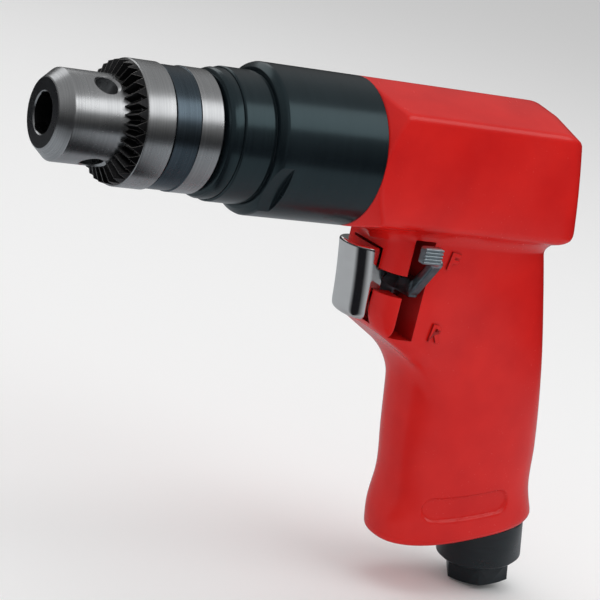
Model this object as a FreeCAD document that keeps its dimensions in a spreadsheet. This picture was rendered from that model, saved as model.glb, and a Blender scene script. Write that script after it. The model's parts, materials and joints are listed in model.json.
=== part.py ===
import FreeCAD, Part
import math
import os
import Sketcher

# A pistol-grip reversible air drill with a keyed three-jaw chuck, in millimetres.
# The spindle runs along X, the origin is the centre of the chuck's mouth, +X points to
# the back of the tool and +Z up. The grip hangs down and leans back by gripRake.

dims = {
    # chuck
    "mouthRadius": 5.75, "mouthDepth": 28.0, "mouthLand": 8.0, "noseFrontRadius": 9.87, "noseChamfer": 3.6,
    "noseRadius": 12.81, "keyHoleX": 14.2, "keyHoleRadius": 3.25, "keyHoleFloor": 7.4,
    "keyHoleTurn": -1.0, "sleeveTeeth": 34, "toothInnerX": 18.2, "toothInnerRadius": 13.0,
    "toothOuterX": 19.9, "toothOuterRadius": 16.9, "toothDepth": 1.7, "sleeveLandX": 23.2,
    "sleeveRadius": 17.75, "sleeveRearX": 31.7, "nutFrontX": 21.4, "nutRearX": 27.2,
    "nutRadius": 16.2, "grooveRadius": 10.6, "bandFrontX": 31.9, "bandRearX": 39.3,
    "bandRadius": 17.3, "chuckRearRadius": 17.6, "chuckRearX": 46.7, "socketX": 32.6,
    "jawAngle": 15.5, "jawRadius": 2.6, "jawFrontX": 9.0, "jawRearX": 40.0,
    "jawAxisRadius": 5.6, "jawGrip": 5.15, "jawTravel": 16.4, "screwRadius": 2.0, "screwHeadRadius": 3.9,
    "screwHeadX": 24.6,
    # spindle and planet carrier
    "noseThreadRadius": 4.76, "shoulderRadius": 8.0, "shaftRadius": 6.0, "rearShaftRadius": 7.5,
    "carrierRadius": 15.4, "carrierX": 75.0, "carrierRearX": 78.0, "pinRadius": 2.0,
    "pinRearX": 87.6,
    # planetary gears
    "gearModule": 0.7, "pressureAngle": 25.0, "sunTeeth": 9, "planetTeeth": 18, "ringTeeth": 45,
    "gearFrontX": 78.6, "gearRearX": 87.0, "ringFrontX": 78.5, "ringRearX": 89.4,
    "backlash": 0.12,
    # gear case
    "capFrontX": 47.7, "capRearX": 52.2, "capRadius": 18.5, "caseNoseRadius": 19.1,
    "caseShoulderX": 62.6, "caseRadius": 21.9, "caseRearX": 97.6, "skirtRearX": 105.6,
    "skirtRadius": 19.7, "motorRadius": 17.95, "wrenchFlat": 20.15, "flatRearX": 68.2,
    "flatTurn": -60.0,
    # air motor
    "plateX": 90.5, "cylinderX": 99.5, "rearPlateX": 145.5, "washerX": 154.0,
    "motorBoreEndX": 155.6, "linerRadius": 15.0, "linerOffset": 1.5, "rotorRadius": 13.4,
    "vanes": 5, "vaneThickness": 2.0, "vaneHeight": 6.4, "slotFloor": 6.8,
    "frontJournal": 4.0, "rearJournal": 3.0, "dowelRadius": 1.0, "dowelDrop": 15.75,
    # housing barrel
    "barrelHalf": 21.95, "shoulderZ": 16.3, "roofHalf": 8.0, "roofZ": 20.95, "ridgeZ": 22.2,
    "barrelCorner": 2.2, "barrelRearRound": 7.5, "barrelRearX": 174.0, "barrelTop": 22.6, "portX": 130.0,
    # finger block and grip
    "gripRake": 11.81, "gripHalf": 16.4, "fingerX": 113.0, "fingerZ": -49.5, "fingerRound": 9.5,
    "chinX": 130.0, "chinZ": -59.5, "baseFrontX": 141.5, "baseFrontZ": -121.3, "baseRearX": 197.3,
    "baseRearZ": -109.7,
    # trigger, reverse lever and valve, on an axis along X below the barrel
    "valveZ": -35.5, "triggerX": 107.2, "triggerHalf": 7.5, "triggerTop": -26.6,
    "triggerBottom": -49.2, "triggerWall": 1.7, "triggerRearX": 113.0, "triggerTravel": 4.0,
    "tabRearX": 116.0, "pocketHalf": 8.1, "stemRadius": 1.95, "slotX": 118.4, "slotRearX": 125.2,
    "leverX": 120.4, "leverThickness": 3.2, "spoolRadius": 6.95, "spoolRearX": 136.0,
    "seatX": 136.4, "seatRearX": 141.0, "poppetX": 141.3, "poppetRadius": 4.3,
    "poppetRearX": 144.6, "chamberRadius": 5.4, "chamberRearX": 158.0, "springWire": 0.45,
    "springRadius": 3.5, "springTurns": 6, "leverReach": 16.0, "padReach": 22.7, "padRise": 10.2,
    # air inlet and exhaust deflector, measured down the grip's axis from its base
    "inletX": 181.15, "inletZ": -113.05, "shankRadius": 6.9, "shankTop": -26.0,
    "deflectorTop": 0.3, "deflectorEnd": 14.05, "deflectorRadius": 13.66, "hexAcross": 19.0,
    "hexEnd": 20.9, "inletRadius": 5.62, "inletDepth": 12.0,
    # the grip's elliptical sections, from the barrel down
    "gripSections": 7,
    "grip1Z": -16.0, "grip1FrontX": 122.0, "grip1RearX": 172.0, "grip1Half": 16.4,
    "grip2Z": -36.0, "grip2FrontX": 124.5, "grip2RearX": 178.5, "grip2Half": 16.4,
    "grip3Z": -60.0, "grip3FrontX": 132.1, "grip3RearX": 185.4, "grip3Half": 16.2,
    "grip4Z": -86.0, "grip4FrontX": 136.7, "grip4RearX": 191.0, "grip4Half": 16.0,
    "grip5Z": -100.0, "grip5FrontX": 139.1, "grip5RearX": 192.9, "grip5Half": 16.1,
    "grip6Z": -112.0, "grip6FrontX": 138.8, "grip6RearX": 197.4, "grip6Half": 16.9,
    "grip7Z": -124.0, "grip7FrontX": 141.0, "grip7RearX": 199.5, "grip7Half": 17.2,
    # general clearances
    "runningGap": 0.05, "fitGap": 0.03,
}

doc = FreeCAD.newDocument("AirDrill")
sheet = doc.addObject("Spreadsheet::Sheet", "Dims")
for row, (alias, number) in enumerate(dims.items(), start=1):
    sheet.set("A%d" % row, alias)
    sheet.set("B%d" % row, str(number))
    sheet.setAlias("B%d" % row, alias)
doc.recompute()

parts = {}
xAxis = FreeCAD.Vector(1, 0, 0)
yAxis = FreeCAD.Vector(0, 1, 0)


def formula(text):
    return str(text).replace("$", "Dims.")


def value(text):
    return float(sheet.evalExpression(formula(text)))


def bind(item, prop, text):
    item.setExpression(prop, formula(text))


def keep(label, item):
    item.Label = label
    parts[label] = item
    return item


def drawOutline(sketch, points):
    corners = [FreeCAD.Vector(value(across), value(up), 0) for across, up in points]
    last = len(points) - 1
    for i, corner in enumerate(corners):
        sketch.addGeometry(Part.LineSegment(corner, corners[0 if i == last else i + 1]))
    for i in range(len(points)):
        sketch.addConstraint(Sketcher.Constraint("Coincident", i, 2, 0 if i == last else i + 1, 1))
    for i, (across, up) in enumerate(points):
        wide = sketch.addConstraint(Sketcher.Constraint("DistanceX", i, 1, corners[i].x))
        bind(sketch, "Constraints[%d]" % wide, across)
        high = sketch.addConstraint(Sketcher.Constraint("DistanceY", i, 1, corners[i].y))
        bind(sketch, "Constraints[%d]" % high, up)


def sketchOn(body, role, points):
    sketch = body.newObject("Sketcher::SketchObject", body.Name + "Sketch")
    plane = [item for item in body.Origin.OriginFeatures if item.Role == role][0]
    sketch.AttachmentSupport = [(plane, "")]
    sketch.MapMode = "FlatFace"
    drawOutline(sketch, points)
    return sketch


def turned(name, points):
    # A body of revolution about X, from (x, radius) points.
    body = doc.addObject("PartDesign::Body", name)
    sketch = sketchOn(body, "XZ_Plane", points)
    turn = body.newObject("PartDesign::Revolution", name + "Turn")
    turn.Profile = sketch
    turn.ReferenceAxis = (sketch, ["H_Axis"])
    turn.Angle = 360
    return body


def ring(name, front, rear, inner, outer):
    return turned(name, [(front, inner), (rear, inner), (rear, outer), (front, outer)])


def padded(name, points, width, plane="XZ_Plane"):
    # A plate with its outline in XZ or XY and its middle on that plane, or in YZ and rising from X = 0.
    body = doc.addObject("PartDesign::Body", name)
    sketch = sketchOn(body, plane, points)
    pad = body.newObject("PartDesign::Pad", name + "Pad")
    pad.Profile = sketch
    pad.Midplane = plane != "YZ_Plane"
    bind(pad, "Length", width)
    return body


def place(item, start, tilt):
    # tilt is the angle of the item's own Z axis above +X, in degrees
    item.Placement = FreeCAD.Placement(FreeCAD.Vector(), FreeCAD.Rotation(yAxis, 90))
    for letter, text in zip("xyz", start):
        bind(item, "Placement.Base." + letter, text)
    bind(item, "Placement.Rotation.Angle", "90 - (%s)" % tilt)


def cylinder(name, radius, length, start, tilt="0"):
    item = doc.addObject("Part::Cylinder", name)
    bind(item, "Radius", radius)
    bind(item, "Height", length)
    place(item, start, tilt)
    return item


def box(name, low, high):
    item = doc.addObject("Part::Box", name)
    for prop, letter, a, b in zip(("Length", "Width", "Height"), "xyz", low, high):
        bind(item, "Placement.Base." + letter, a)
        bind(item, prop, "(%s) - (%s)" % (b, a))
    return item


def spun(name, item, degrees):
    # The item turned about the spindle's axis.
    copy = doc.addObject("Part::Compound", name)
    copy.Links = [item]
    copy.Placement = FreeCAD.Placement(FreeCAD.Vector(), FreeCAD.Rotation(xAxis, degrees))
    return copy


def cut(name, base, tools):
    tool = tools[0]
    if len(tools) > 1:
        tool = fuse(name + "Tools", tools)
    item = doc.addObject("Part::Cut", name)
    item.Base = base
    item.Tool = tool
    return item


def fuse(name, items):
    item = doc.addObject("Part::MultiFuse", name)
    item.Shapes = items
    return item


def common(name, base, tool):
    item = doc.addObject("Part::Common", name)
    item.Base = base
    item.Tool = tool
    return item


def shaped(name, shape):
    item = doc.addObject("Part::Feature", name)
    item.Shape = shape
    return item


# ---- chuck ----

jawTurns = [-30, 90, 210]
keyTurns = [turn + 60 + dims["keyHoleTurn"] for turn in jawTurns]


def jawRod(name, radius, front, rear):
    slope = "tan($jawAngle)"
    height = "$jawAxisRadius + ((%s) - $jawFrontX) * %s" % (front, slope)
    length = "((%s) - (%s)) / cos($jawAngle)" % (rear, front)
    return cylinder(name, radius, length, (front, "0", height), "$jawAngle")


def makeChuckBody():
    blank = turned("chuckBlank", [
        ("0", "$mouthRadius"), ("0", "$noseFrontRadius"), ("$noseChamfer", "$noseRadius"),
        ("$nutFrontX - 0.2", "$noseRadius"), ("$nutFrontX - 0.2", "$grooveRadius"),
        ("$nutRearX + 0.2", "$grooveRadius"), ("$nutRearX + 0.2", "$nutRadius - 0.1"),
        ("$bandFrontX", "$nutRadius - 0.1"), ("$bandFrontX", "$bandRadius"),
        ("$bandRearX", "$bandRadius"), ("$bandRearX", "$chuckRearRadius"),
        ("$chuckRearX - 0.6", "$chuckRearRadius"), ("$chuckRearX", "$chuckRearRadius - 0.6"),
        ("$chuckRearX", "$noseThreadRadius + $fitGap"), ("$socketX", "$noseThreadRadius + $fitGap"),
        ("$socketX", "$screwRadius + 0.2"), ("$mouthDepth", "$screwRadius + 0.2"),
        ("$mouthDepth", "$mouthRadius + 0.5"), ("$mouthLand", "$mouthRadius + 0.5"),
        ("$mouthLand", "$mouthRadius")])
    tools = []
    for i, turn in enumerate(jawTurns):
        rod = jawRod("jawHoleRod%d" % i, "$jawRadius + $runningGap", "$jawFrontX - 22", "$jawRearX + 1")
        tools.append(spun("jawHole%d" % i, rod, turn))
    for i, turn in enumerate(keyTurns):
        drill = cylinder("keyDrill%d" % i, "$keyHoleRadius", "$noseRadius",
                         ("$keyHoleX", "0", "$keyHoleFloor"), "90")
        tools.append(spun("keyHole%d" % i, drill, turn))
    keep("chuck_body", cut("chuckBody", blank, tools))


def makeSleeve():
    blank = turned("sleeveBlank", [
        ("$toothInnerX", "$noseRadius + $runningGap"), ("$toothInnerX", "$toothInnerRadius"),
        ("$toothOuterX", "$toothOuterRadius"), ("$sleeveLandX - 0.5", "$sleeveRadius - 0.2"),
        ("$sleeveLandX", "$sleeveRadius"), ("$sleeveRearX - 0.5", "$sleeveRadius"),
        ("$sleeveRearX", "$sleeveRadius - 0.5"), ("$sleeveRearX", "$nutRadius + $fitGap"),
        ("$nutFrontX", "$nutRadius + $fitGap"), ("$nutFrontX", "$noseRadius + $runningGap")])
    notches = shaped("toothNotches", sleeveNotches())
    keep("chuck_sleeve", cut("chuckSleeve", blank, [notches]))


def sleeveNotches():
    # One tapered V between two bevel teeth, swept along the toothed cone and repeated.
    count = int(value("$sleeveTeeth"))
    depth = value("$toothDepth")
    inner = FreeCAD.Vector(value("$toothInnerX"), 0, value("$toothInnerRadius"))
    outer = FreeCAD.Vector(value("$toothOuterX"), 0, value("$toothOuterRadius"))
    along = (outer - inner).normalize()
    out = FreeCAD.Vector(-along.z, 0, along.x)
    wires = []
    for point in (inner - along * 1.5, outer + along * 1.6):
        half = math.pi * point.z / count * 0.86
        floor = point - out * depth * (point.z / outer.z)
        top = point + out * 0.6
        corners = [top - yAxis * half * 1.25, top + yAxis * half * 1.25,
                   floor + yAxis * half * 0.22, floor - yAxis * half * 0.22]
        wires.append(Part.makePolygon(corners + corners[:1]))
    notch = Part.makeLoft(wires, True, True)
    copies = []
    for i in range(count):
        copy = notch.copy()
        copy.rotate(FreeCAD.Vector(), xAxis, 360.0 * i / count)
        copies.append(copy)
    return Part.makeCompound(copies)


def makeNutHalves():
    # The conical bore clears the jaws' toothed backs all along their slide.
    lineGap = "$jawAxisRadius - $jawFrontX * tan($jawAngle) + $jawRadius / cos($jawAngle) + 0.15"
    blank = turned("nutBlank", [
        ("$nutFrontX + 0.05", "%s + $nutFrontX * tan($jawAngle)" % lineGap),
        ("$nutRearX", "%s + $nutRearX * tan($jawAngle)" % lineGap),
        ("$nutRearX", "$nutRadius"), ("$nutFrontX + 0.05", "$nutRadius")])
    for i, side in enumerate((1, -1)):
        low = "0.04" if side > 0 else "-20"
        high = "20" if side > 0 else "-0.04"
        half = box("nutSide%d" % i, ("0", low, "-20"), ("50", high, "20"))
        keep("split_nut_%d" % (i + 1), common("splitNut%d" % i, blank, half))


def makeJaws():
    # Each jaw keeps to its own third of the circle when the three have closed.
    apex = "$jawTravel * sin($jawAngle) + 0.1"
    wedge = padded("jawWedge", [("0", apex), ("(16 - %s) * tan(60)" % apex, "16"),
                                ("-(16 - %s) * tan(60)" % apex, "16")], "60", "YZ_Plane")
    for i, turn in enumerate(jawTurns):
        rod = jawRod("jawRod%d" % i, "$jawRadius", "$jawFrontX", "$jawRearX")
        grip = box("jawGripCut%d" % i, ("0", "-9", "-9"), ("25", "9", "$jawGrip"))
        ends = box("jawFrontCut%d" % i, ("0", "-9", "0"), ("$jawFrontX + 0.6", "9", "12"))
        teeth = []
        for k in range(11):
            x = "$jawRearX - 12.5 + %d * 1.15" % k
            rise = "$jawAxisRadius + (%s - $jawFrontX) * tan($jawAngle) + $jawRadius * 0.72" % x
            tooth = cylinder("jawTooth%d_%d" % (i, k), "0.9", "0.5", (x, "0", rise), "$jawAngle")
            bind(tooth, "Radius", "$jawRadius * 2")
            bind(tooth, "Placement.Base.z", "%s + $jawRadius * 2" % rise)
            teeth.append(tooth)
        rod = common("jawWedged%d" % i, rod, wedge)
        body = cut("jawCut%d" % i, rod, [grip, ends] + teeth)
        keep("jaw_%d" % (i + 1), spun("jaw%d" % i, body, turn))


def makeChuckScrew():
    screw = turned("chuckScrewTurn", [
        ("$screwHeadX", "0"), ("$screwHeadX", "$screwHeadRadius"),
        ("$mouthDepth - 0.02", "$screwHeadRadius"), ("$mouthDepth - 0.02", "$screwRadius"),
        ("$chuckRearX", "$screwRadius"), ("$chuckRearX + 0.6", "$screwRadius - 0.6"),
        ("$chuckRearX + 0.6", "0")])
    socket = doc.addObject("Part::Prism", "screwSocket")
    socket.Polygon = 6
    bind(socket, "Circumradius", "2.3")
    bind(socket, "Height", "2.2")
    place(socket, ("$screwHeadX", "0", "0"), "0")
    keep("chuck_screw", cut("chuckScrew", screw, [socket]))


# ---- spindle and gears ----

def makeSpindle():
    shaft = turned("spindleTurn", [
        ("$socketX + 0.4", "$screwRadius + $fitGap"), ("$socketX + 0.4", "$noseThreadRadius - 0.5"),
        ("$socketX + 0.9", "$noseThreadRadius"), ("$chuckRearX + 0.02", "$noseThreadRadius"),
        ("$chuckRearX + 0.02", "$shoulderRadius"), ("$chuckRearX + 2.6", "$shoulderRadius"),
        ("$chuckRearX + 2.6", "$shaftRadius"), ("65", "$shaftRadius"), ("65", "$rearShaftRadius"),
        ("$carrierX - 0.5", "$rearShaftRadius"), ("$carrierX - 0.5", "$rearShaftRadius + 1"),
        ("$carrierX", "$rearShaftRadius + 1"), ("$carrierX", "$carrierRadius"),
        ("$carrierRearX", "$carrierRadius"), ("$carrierRearX", "4.6"), ("$carrierX - 3", "4.6"),
        ("$carrierX - 5", "$screwRadius + $fitGap")])
    holes = []
    for i in range(3):
        height = "$gearModule * ($sunTeeth + $planetTeeth) / 2"
        hole = cylinder("carrierHoleBar%d" % i, "$pinRadius + $fitGap", "20",
                        ("$carrierX - 1", "0", height))
        holes.append(spun("carrierHole%d" % i, hole, 120 * i))
        pin = cylinder("planetPinBar%d" % i, "$pinRadius", "$pinRearX - $carrierX",
                       ("$carrierX", "0", height))
        keep("planet_pin_%d" % (i + 1), spun("planetPin%d" % i, pin, 120 * i))
    keep("spindle", cut("spindleCut", shaft, holes))


def gearWire(teeth, tipRadius, rootRadius, thickness, firstAngle, x):
    # A spur gear's outline about X, with involute flanks in short straight steps.
    module = value("$gearModule")
    pressure = math.radians(value("$pressureAngle"))
    pitchRadius = module * teeth / 2
    baseRadius = pitchRadius * math.cos(pressure)
    low = max(rootRadius, baseRadius)
    steps = 5
    flank = []
    for k in range(steps):
        radius = low + (tipRadius - low) * k / (steps - 1)
        angle = math.acos(min(1.0, baseRadius / radius))
        half = (thickness / 2 / pitchRadius + math.tan(pressure) - pressure
                - math.tan(angle) + angle)
        flank.append((radius, half))
    if rootRadius < low:
        flank.insert(0, (rootRadius, flank[0][1]))
    points = []
    for tooth in range(teeth):
        centre = firstAngle + 2 * math.pi * tooth / teeth
        polar = [(r, centre - a) for r, a in flank] + [(r, centre + a) for r, a in reversed(flank)]
        for radius, angle in polar:
            points.append(FreeCAD.Vector(x, radius * math.cos(angle), radius * math.sin(angle)))
    return Part.makePolygon(points + points[:1])


def spurGear(teeth, tipRadius, rootRadius, thickness, firstAngle, front, rear):
    wire = gearWire(teeth, tipRadius, rootRadius, thickness, firstAngle, front)
    return Part.Face(wire).extrude(FreeCAD.Vector(rear - front, 0, 0))


def gearNumbers():
    module = value("$gearModule")
    sun, planet, annulus = (int(value("$%sTeeth" % name)) for name in ("sun", "planet", "ring"))
    centre = module * (sun + planet) / 2
    toothWidth = math.pi * module / 2
    return module, sun, planet, annulus, centre, toothWidth


def planetPhase(place):
    # The turn of a planet at the angle place that meshes with a sun tooth standing at angle 0.
    module, sun, planet, annulus, centre, toothWidth = gearNumbers()
    return place + math.pi - 2 * math.pi / planet * (0.5 - place * sun / (2 * math.pi))


def makePlanets():
    module, sun, planet, annulus, centre, toothWidth = gearNumbers()
    front, rear = value("$gearFrontX"), value("$gearRearX")
    pitchRadius = module * planet / 2
    for i in range(3):
        angle = math.pi / 2 + 2 * math.pi * i / 3
        gear = spurGear(planet, pitchRadius + 0.88 * module, pitchRadius - 1.2 * module,
                        toothWidth - value("$backlash"), planetPhase(angle), front, rear)
        bore = Part.makeCylinder(value("$pinRadius + $runningGap"), 30, FreeCAD.Vector(70, 0, 0), xAxis)
        item = shaped("planetShape%d" % i, gear.cut(bore))
        item.Placement = FreeCAD.Placement(
            FreeCAD.Vector(0, centre * math.cos(angle), centre * math.sin(angle)), FreeCAD.Rotation())
        keep("planet_gear_%d" % (i + 1), item)


def makeRingGear():
    module, sun, planet, annulus, centre, toothWidth = gearNumbers()
    pitchRadius = module * annulus / 2
    front, rear = value("$ringFrontX"), value("$ringRearX")
    # A planet tooth and a ring space stand together on the line through the first planet.
    line = math.pi / 2
    planetShare = (line - planetPhase(line)) * planet / (2 * math.pi)
    ringAngle = line - planetShare * 2 * math.pi / annulus
    hollow = spurGear(annulus, pitchRadius + 1.2 * module, pitchRadius - 0.8 * module,
                      toothWidth + value("$backlash"), ringAngle, front - 1, rear + 1)
    blank = Part.makeCylinder(value("$motorRadius"), rear - front, FreeCAD.Vector(front, 0, 0), xAxis)
    keep("ring_gear", shaped("ringGear", blank.cut(hollow)))


# ---- ball bearings ----

# name, front face, width, bore radius, outer radius, ball radius, balls, inner ring's body
bearings = [
    ("front_bearing", "55.0", "8.0", "$shaftRadius", "14.0", "2.3", 9),
    ("carrier_bearing", "67.0", "7.0", "$rearShaftRadius", "14.0", "1.9", 11),
    ("rotor_front_bearing", "90.8", "6.8", "$frontJournal", "11.0", "1.9", 7),
    ("rotor_rear_bearing", "147.4", "6.0", "$rearJournal", "9.5", "1.7", 7),
]


def makeBearing(name, front, width, bore, outer, ballRadius, count):
    x0, x1 = value(front), value("%s + %s" % (front, width))
    inner, outside = value("%s + $fitGap" % bore), value("%s - $fitGap" % outer)
    ball, middle = value(ballRadius), (value(bore) + value(outer)) / 2
    centre = FreeCAD.Vector((x0 + x1) / 2, 0, 0)
    groove = Part.makeTorus(middle, ball + 0.04, centre, xAxis)
    races = []
    for low, high in ((inner, middle - 0.45 * ball), (middle + 0.45 * ball, outside)):
        tube = Part.makeCylinder(high, x1 - x0, FreeCAD.Vector(x0, 0, 0), xAxis)
        tube = tube.cut(Part.makeCylinder(low, x1 - x0, FreeCAD.Vector(x0, 0, 0), xAxis))
        races.append(tube.cut(groove))
    keep(name + "_inner", shaped(name + "Inner", races[0]))
    keep(name + "_outer", shaped(name + "Outer", races[1]))
    # The balls sit in a cage ring that runs between the two races.
    cage = Part.makeCylinder(middle + 0.36 * ball, ball * 1.2, centre - xAxis * ball * 0.6, xAxis)
    cage = cage.cut(Part.makeCylinder(middle - 0.36 * ball, ball * 1.2, centre - xAxis * ball * 0.6, xAxis))
    balls = []
    for i in range(count):
        sphere = Part.makeSphere(ball, centre + FreeCAD.Vector(0, 0, middle), xAxis)
        sphere.rotate(FreeCAD.Vector(0, 0, 0), xAxis, 360.0 * i / count)
        balls.append(sphere)
    keep(name + "_balls", shaped(name + "Balls", cage.fuse(balls)))


# ---- gear case ----

def makeFrontCap():
    keep("front_cap", turned("frontCap", [
        ("$capFrontX", "9.0"), ("$capFrontX", "$capRadius - 1.8"),
        ("$capFrontX + 0.6", "$capRadius - 0.5"), ("$capFrontX + 1.8", "$capRadius"),
        ("$capRearX", "$capRadius"), ("$capRearX", "15.4"), ("54.7", "15.4"), ("54.7", "9.6"),
        ("52.6", "9.6"), ("52.6", "11.2"), ("49.9", "11.2"), ("49.9", "9.0")]))
    keep("front_seal", ring("frontSeal", "50.0", "52.4", "$shaftRadius + 0.1", "11.1"))


def makeGearCase():
    shell = turned("caseTurn", [
        ("$capRearX + 0.02", "15.5"), ("$capRearX + 0.02", "$caseNoseRadius - 0.4"),
        ("$capRearX + 0.4", "$caseNoseRadius"), ("$caseShoulderX - 0.9", "$caseNoseRadius"),
        ("$caseShoulderX - 0.9", "$caseNoseRadius - 0.5"),
        ("$caseShoulderX", "$caseNoseRadius - 0.5"), ("$caseShoulderX", "$caseRadius - 2.3"),
        ("$caseShoulderX + 0.8", "$caseRadius - 0.9"), ("$caseShoulderX + 2.2", "$caseRadius"),
        ("$caseRearX", "$caseRadius"), ("$caseRearX", "$skirtRadius"), ("$skirtRearX", "$skirtRadius"),
        ("$skirtRearX", "$motorRadius + 0.05"), ("$ringFrontX - 0.1", "$motorRadius + 0.05"),
        ("$ringFrontX - 0.1", "$carrierRadius + 1.0"), ("74.3", "$carrierRadius + 1.0"),
        ("74.3", "14.0"), ("66.8", "14.0"), ("66.8", "12.0"), ("63.2", "12.0"), ("63.2", "14.0"),
        ("54.8", "14.0"), ("54.8", "15.5")])
    flats = []
    for i in range(2):
        flat = box("flatBox%d" % i, ("$caseShoulderX - 0.5", "-20", "$wrenchFlat"),
                   ("$flatRearX", "20", "30"))
        flats.append(spun("flat%d" % i, flat, value("$flatTurn") + 180 * i))
    keep("gear_case", cut("gearCase", shell, flats))


def makeMotorPlates():
    spacer = ring("motorSpacerRing", "$ringRearX + 0.1", "$plateX - 0.05", "14.0", "$motorRadius")
    keep("motor_spacer", spacer)
    front = turned("frontPlateTurn", [
        ("$plateX", "11.0"), ("$plateX", "$motorRadius"), ("$cylinderX - 0.02", "$motorRadius"),
        ("$cylinderX - 0.02", "5.0"), ("97.8", "5.0"), ("97.8", "11.0")])
    rear = turned("rearPlateTurn", [
        ("$rearPlateX + 0.02", "4.0"), ("$rearPlateX + 0.02", "$motorRadius"),
        ("$washerX", "$motorRadius"), ("$washerX", "9.5"), ("147.2", "9.5"), ("147.2", "4.0")])
    dowelHole = cylinder("dowelHole", "$dowelRadius + $fitGap", "60", ("96", "0", "-$dowelDrop"))
    keep("motor_front_plate", cut("motorFrontPlate", front, [dowelHole]))
    keep("motor_rear_plate", cut("motorRearPlate", rear, [dowelHole]))
    blank = ring("linerBlank", "$cylinderX", "$rearPlateX", "1.0", "$motorRadius")
    bore = cylinder("linerBore", "$linerRadius", "80", ("80", "0", "$linerOffset"))
    ports = []
    for i, side in enumerate(("-1", "1")):
        ports.append(cylinder("linerPort%d" % i, "2.4", "20", ("$portX", side + " * 8.5", "-22"), "90"))
    outlet = box("linerOutlet", ("112", "-20", "6"), ("132", "20", "10"))
    keep("motor_cylinder", cut("motorCylinder", blank, [bore, dowelHole, outlet] + ports))
    keep("motor_dowel", cylinder("motorDowel", "$dowelRadius", "55", ("97.5", "0", "-$dowelDrop")))
    keep("rear_washer", ring("rearWasher", "$washerX + 0.05", "$motorBoreEndX - 0.1", "12.0", "17.4"))


def makeRotor():
    module, sun, planet, annulus, centre, toothWidth = gearNumbers()
    shaft = turned("rotorTurn", [
        ("$gearRearX + 0.6", "0"), ("$gearRearX + 0.6", "$frontJournal - 0.15"),
        ("90.6", "$frontJournal - 0.15"),
        ("90.6", "$frontJournal"), ("$cylinderX - 0.9", "$frontJournal"),
        ("$cylinderX - 0.9", "$frontJournal + 0.7"), ("$cylinderX + 0.1", "$frontJournal + 0.7"),
        ("$cylinderX + 0.1", "$rotorRadius"),
        ("$rearPlateX - 0.1", "$rotorRadius"), ("$rearPlateX - 0.1", "$rearJournal + 0.7"),
        ("147.3", "$rearJournal + 0.7"), ("147.3", "$rearJournal"), ("$washerX - 0.3", "$rearJournal"),
        ("$washerX - 0.3", "0")])
    pitchRadius = module * sun / 2
    pinion = spurGear(sun, pitchRadius + 0.88 * module, pitchRadius - 1.2 * module,
                      toothWidth - value("$backlash"), 0.0,
                      value("$gearFrontX - 0.2"), value("$gearRearX + 0.8"))
    count = int(value("$vanes"))
    slots = []
    for i in range(count):
        half = "$vaneThickness / 2 + 0.06"
        slot = box("vaneSlotBox%d" % i, ("$cylinderX", "-(%s)" % half, "$slotFloor"),
                   ("$rearPlateX", half, "$rotorRadius + 1"))
        slots.append(spun("vaneSlot%d" % i, slot, 360.0 * i / count))
        blade = box("vaneBox%d" % i, ("$cylinderX + 0.2", "-$vaneThickness / 2", "$slotFloor + 0.1"),
                    ("$rearPlateX - 0.2", "$vaneThickness / 2", "$slotFloor + 0.1 + $vaneHeight"))
        keep("vane_%d" % (i + 1), spun("vane%d" % i, blade, 360.0 * i / count))
    core = fuse("rotorCore", [shaft, shaped("sunPinion", pinion)])
    keep("rotor", cut("rotorSlotted", core, slots))


# ---- housing ----

def rounded(name, base, alias, wanted):
    # A fillet on the edges whose bounding boxes are wanted.
    doc.recompute()
    item = doc.addObject("Part::Fillet", name)
    item.Base = base
    radius = value(alias)
    item.Edges = [(index, radius, radius) for index, edge in enumerate(base.Shape.Edges, start=1)
                  if wanted(edge.BoundBox)]
    return item


def makeBarrel():
    # The section has flat sides and a low roof above and below, from creases at shoulderZ.
    side = [("-$barrelHalf", "-$shoulderZ"), ("-$barrelHalf", "$shoulderZ"), ("-$roofHalf", "$roofZ"),
            ("0", "$ridgeZ"), ("$roofHalf", "$roofZ"), ("$barrelHalf", "$shoulderZ"),
            ("$barrelHalf", "-$shoulderZ"), ("$roofHalf", "-$roofZ"), ("0", "-$ridgeZ"),
            ("-$roofHalf", "-$roofZ")]
    long = padded("barrelLong", side, "$barrelRearX - $caseRearX + 10", "YZ_Plane")
    bind(long, "Placement.Base.x", "$caseRearX")
    long = rounded("barrelCorners", long, "$barrelCorner",
                   lambda box: box.XLength > 1 and abs(box.Center.y) > value("$barrelHalf - 1"))
    # the rear face leans like the grip, and crosses the spindle's axis at barrelRearX
    profile = padded("barrelProfile", [
        ("$caseRearX", "-$barrelTop"), ("$barrelRearX + $barrelTop * tan($gripRake)", "-$barrelTop"),
        ("$barrelRearX - $barrelTop * tan($gripRake)", "$barrelTop"), ("$caseRearX", "$barrelTop")], "60")
    profile = rounded("barrelSide", profile, "$barrelRearRound",
                      lambda box: box.YLength > 1 and box.Center.x > value("$barrelRearX - 10"))
    plan = padded("barrelPlan", [
        ("-90", "-$barrelHalf - 0.3"), ("0", "-$barrelHalf - 0.3"), ("0", "$barrelHalf + 0.3"),
        ("-90", "$barrelHalf + 0.3")], "120", "XY_Plane")
    place(plan, ("$barrelRearX", "0", "0"), "90 + $gripRake")
    plan = rounded("barrelAbove", plan, "$barrelRearRound",
                   lambda box: box.ZLength > 100 and abs(box.Center.x - value("$barrelRearX")) < 1)
    mouth = turned("barrelMouth", [
        ("$caseRearX", "0"), ("$caseRearX", "$caseRadius + 0.1"), ("$caseRearX + 7", "$caseRadius + 7"),
        ("$barrelRearX + 10", "$caseRadius + 7"), ("$barrelRearX + 10", "0")])
    return common("barrel", common("barrelRear", common("barrelBlock", long, profile), plan), mouth)


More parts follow.
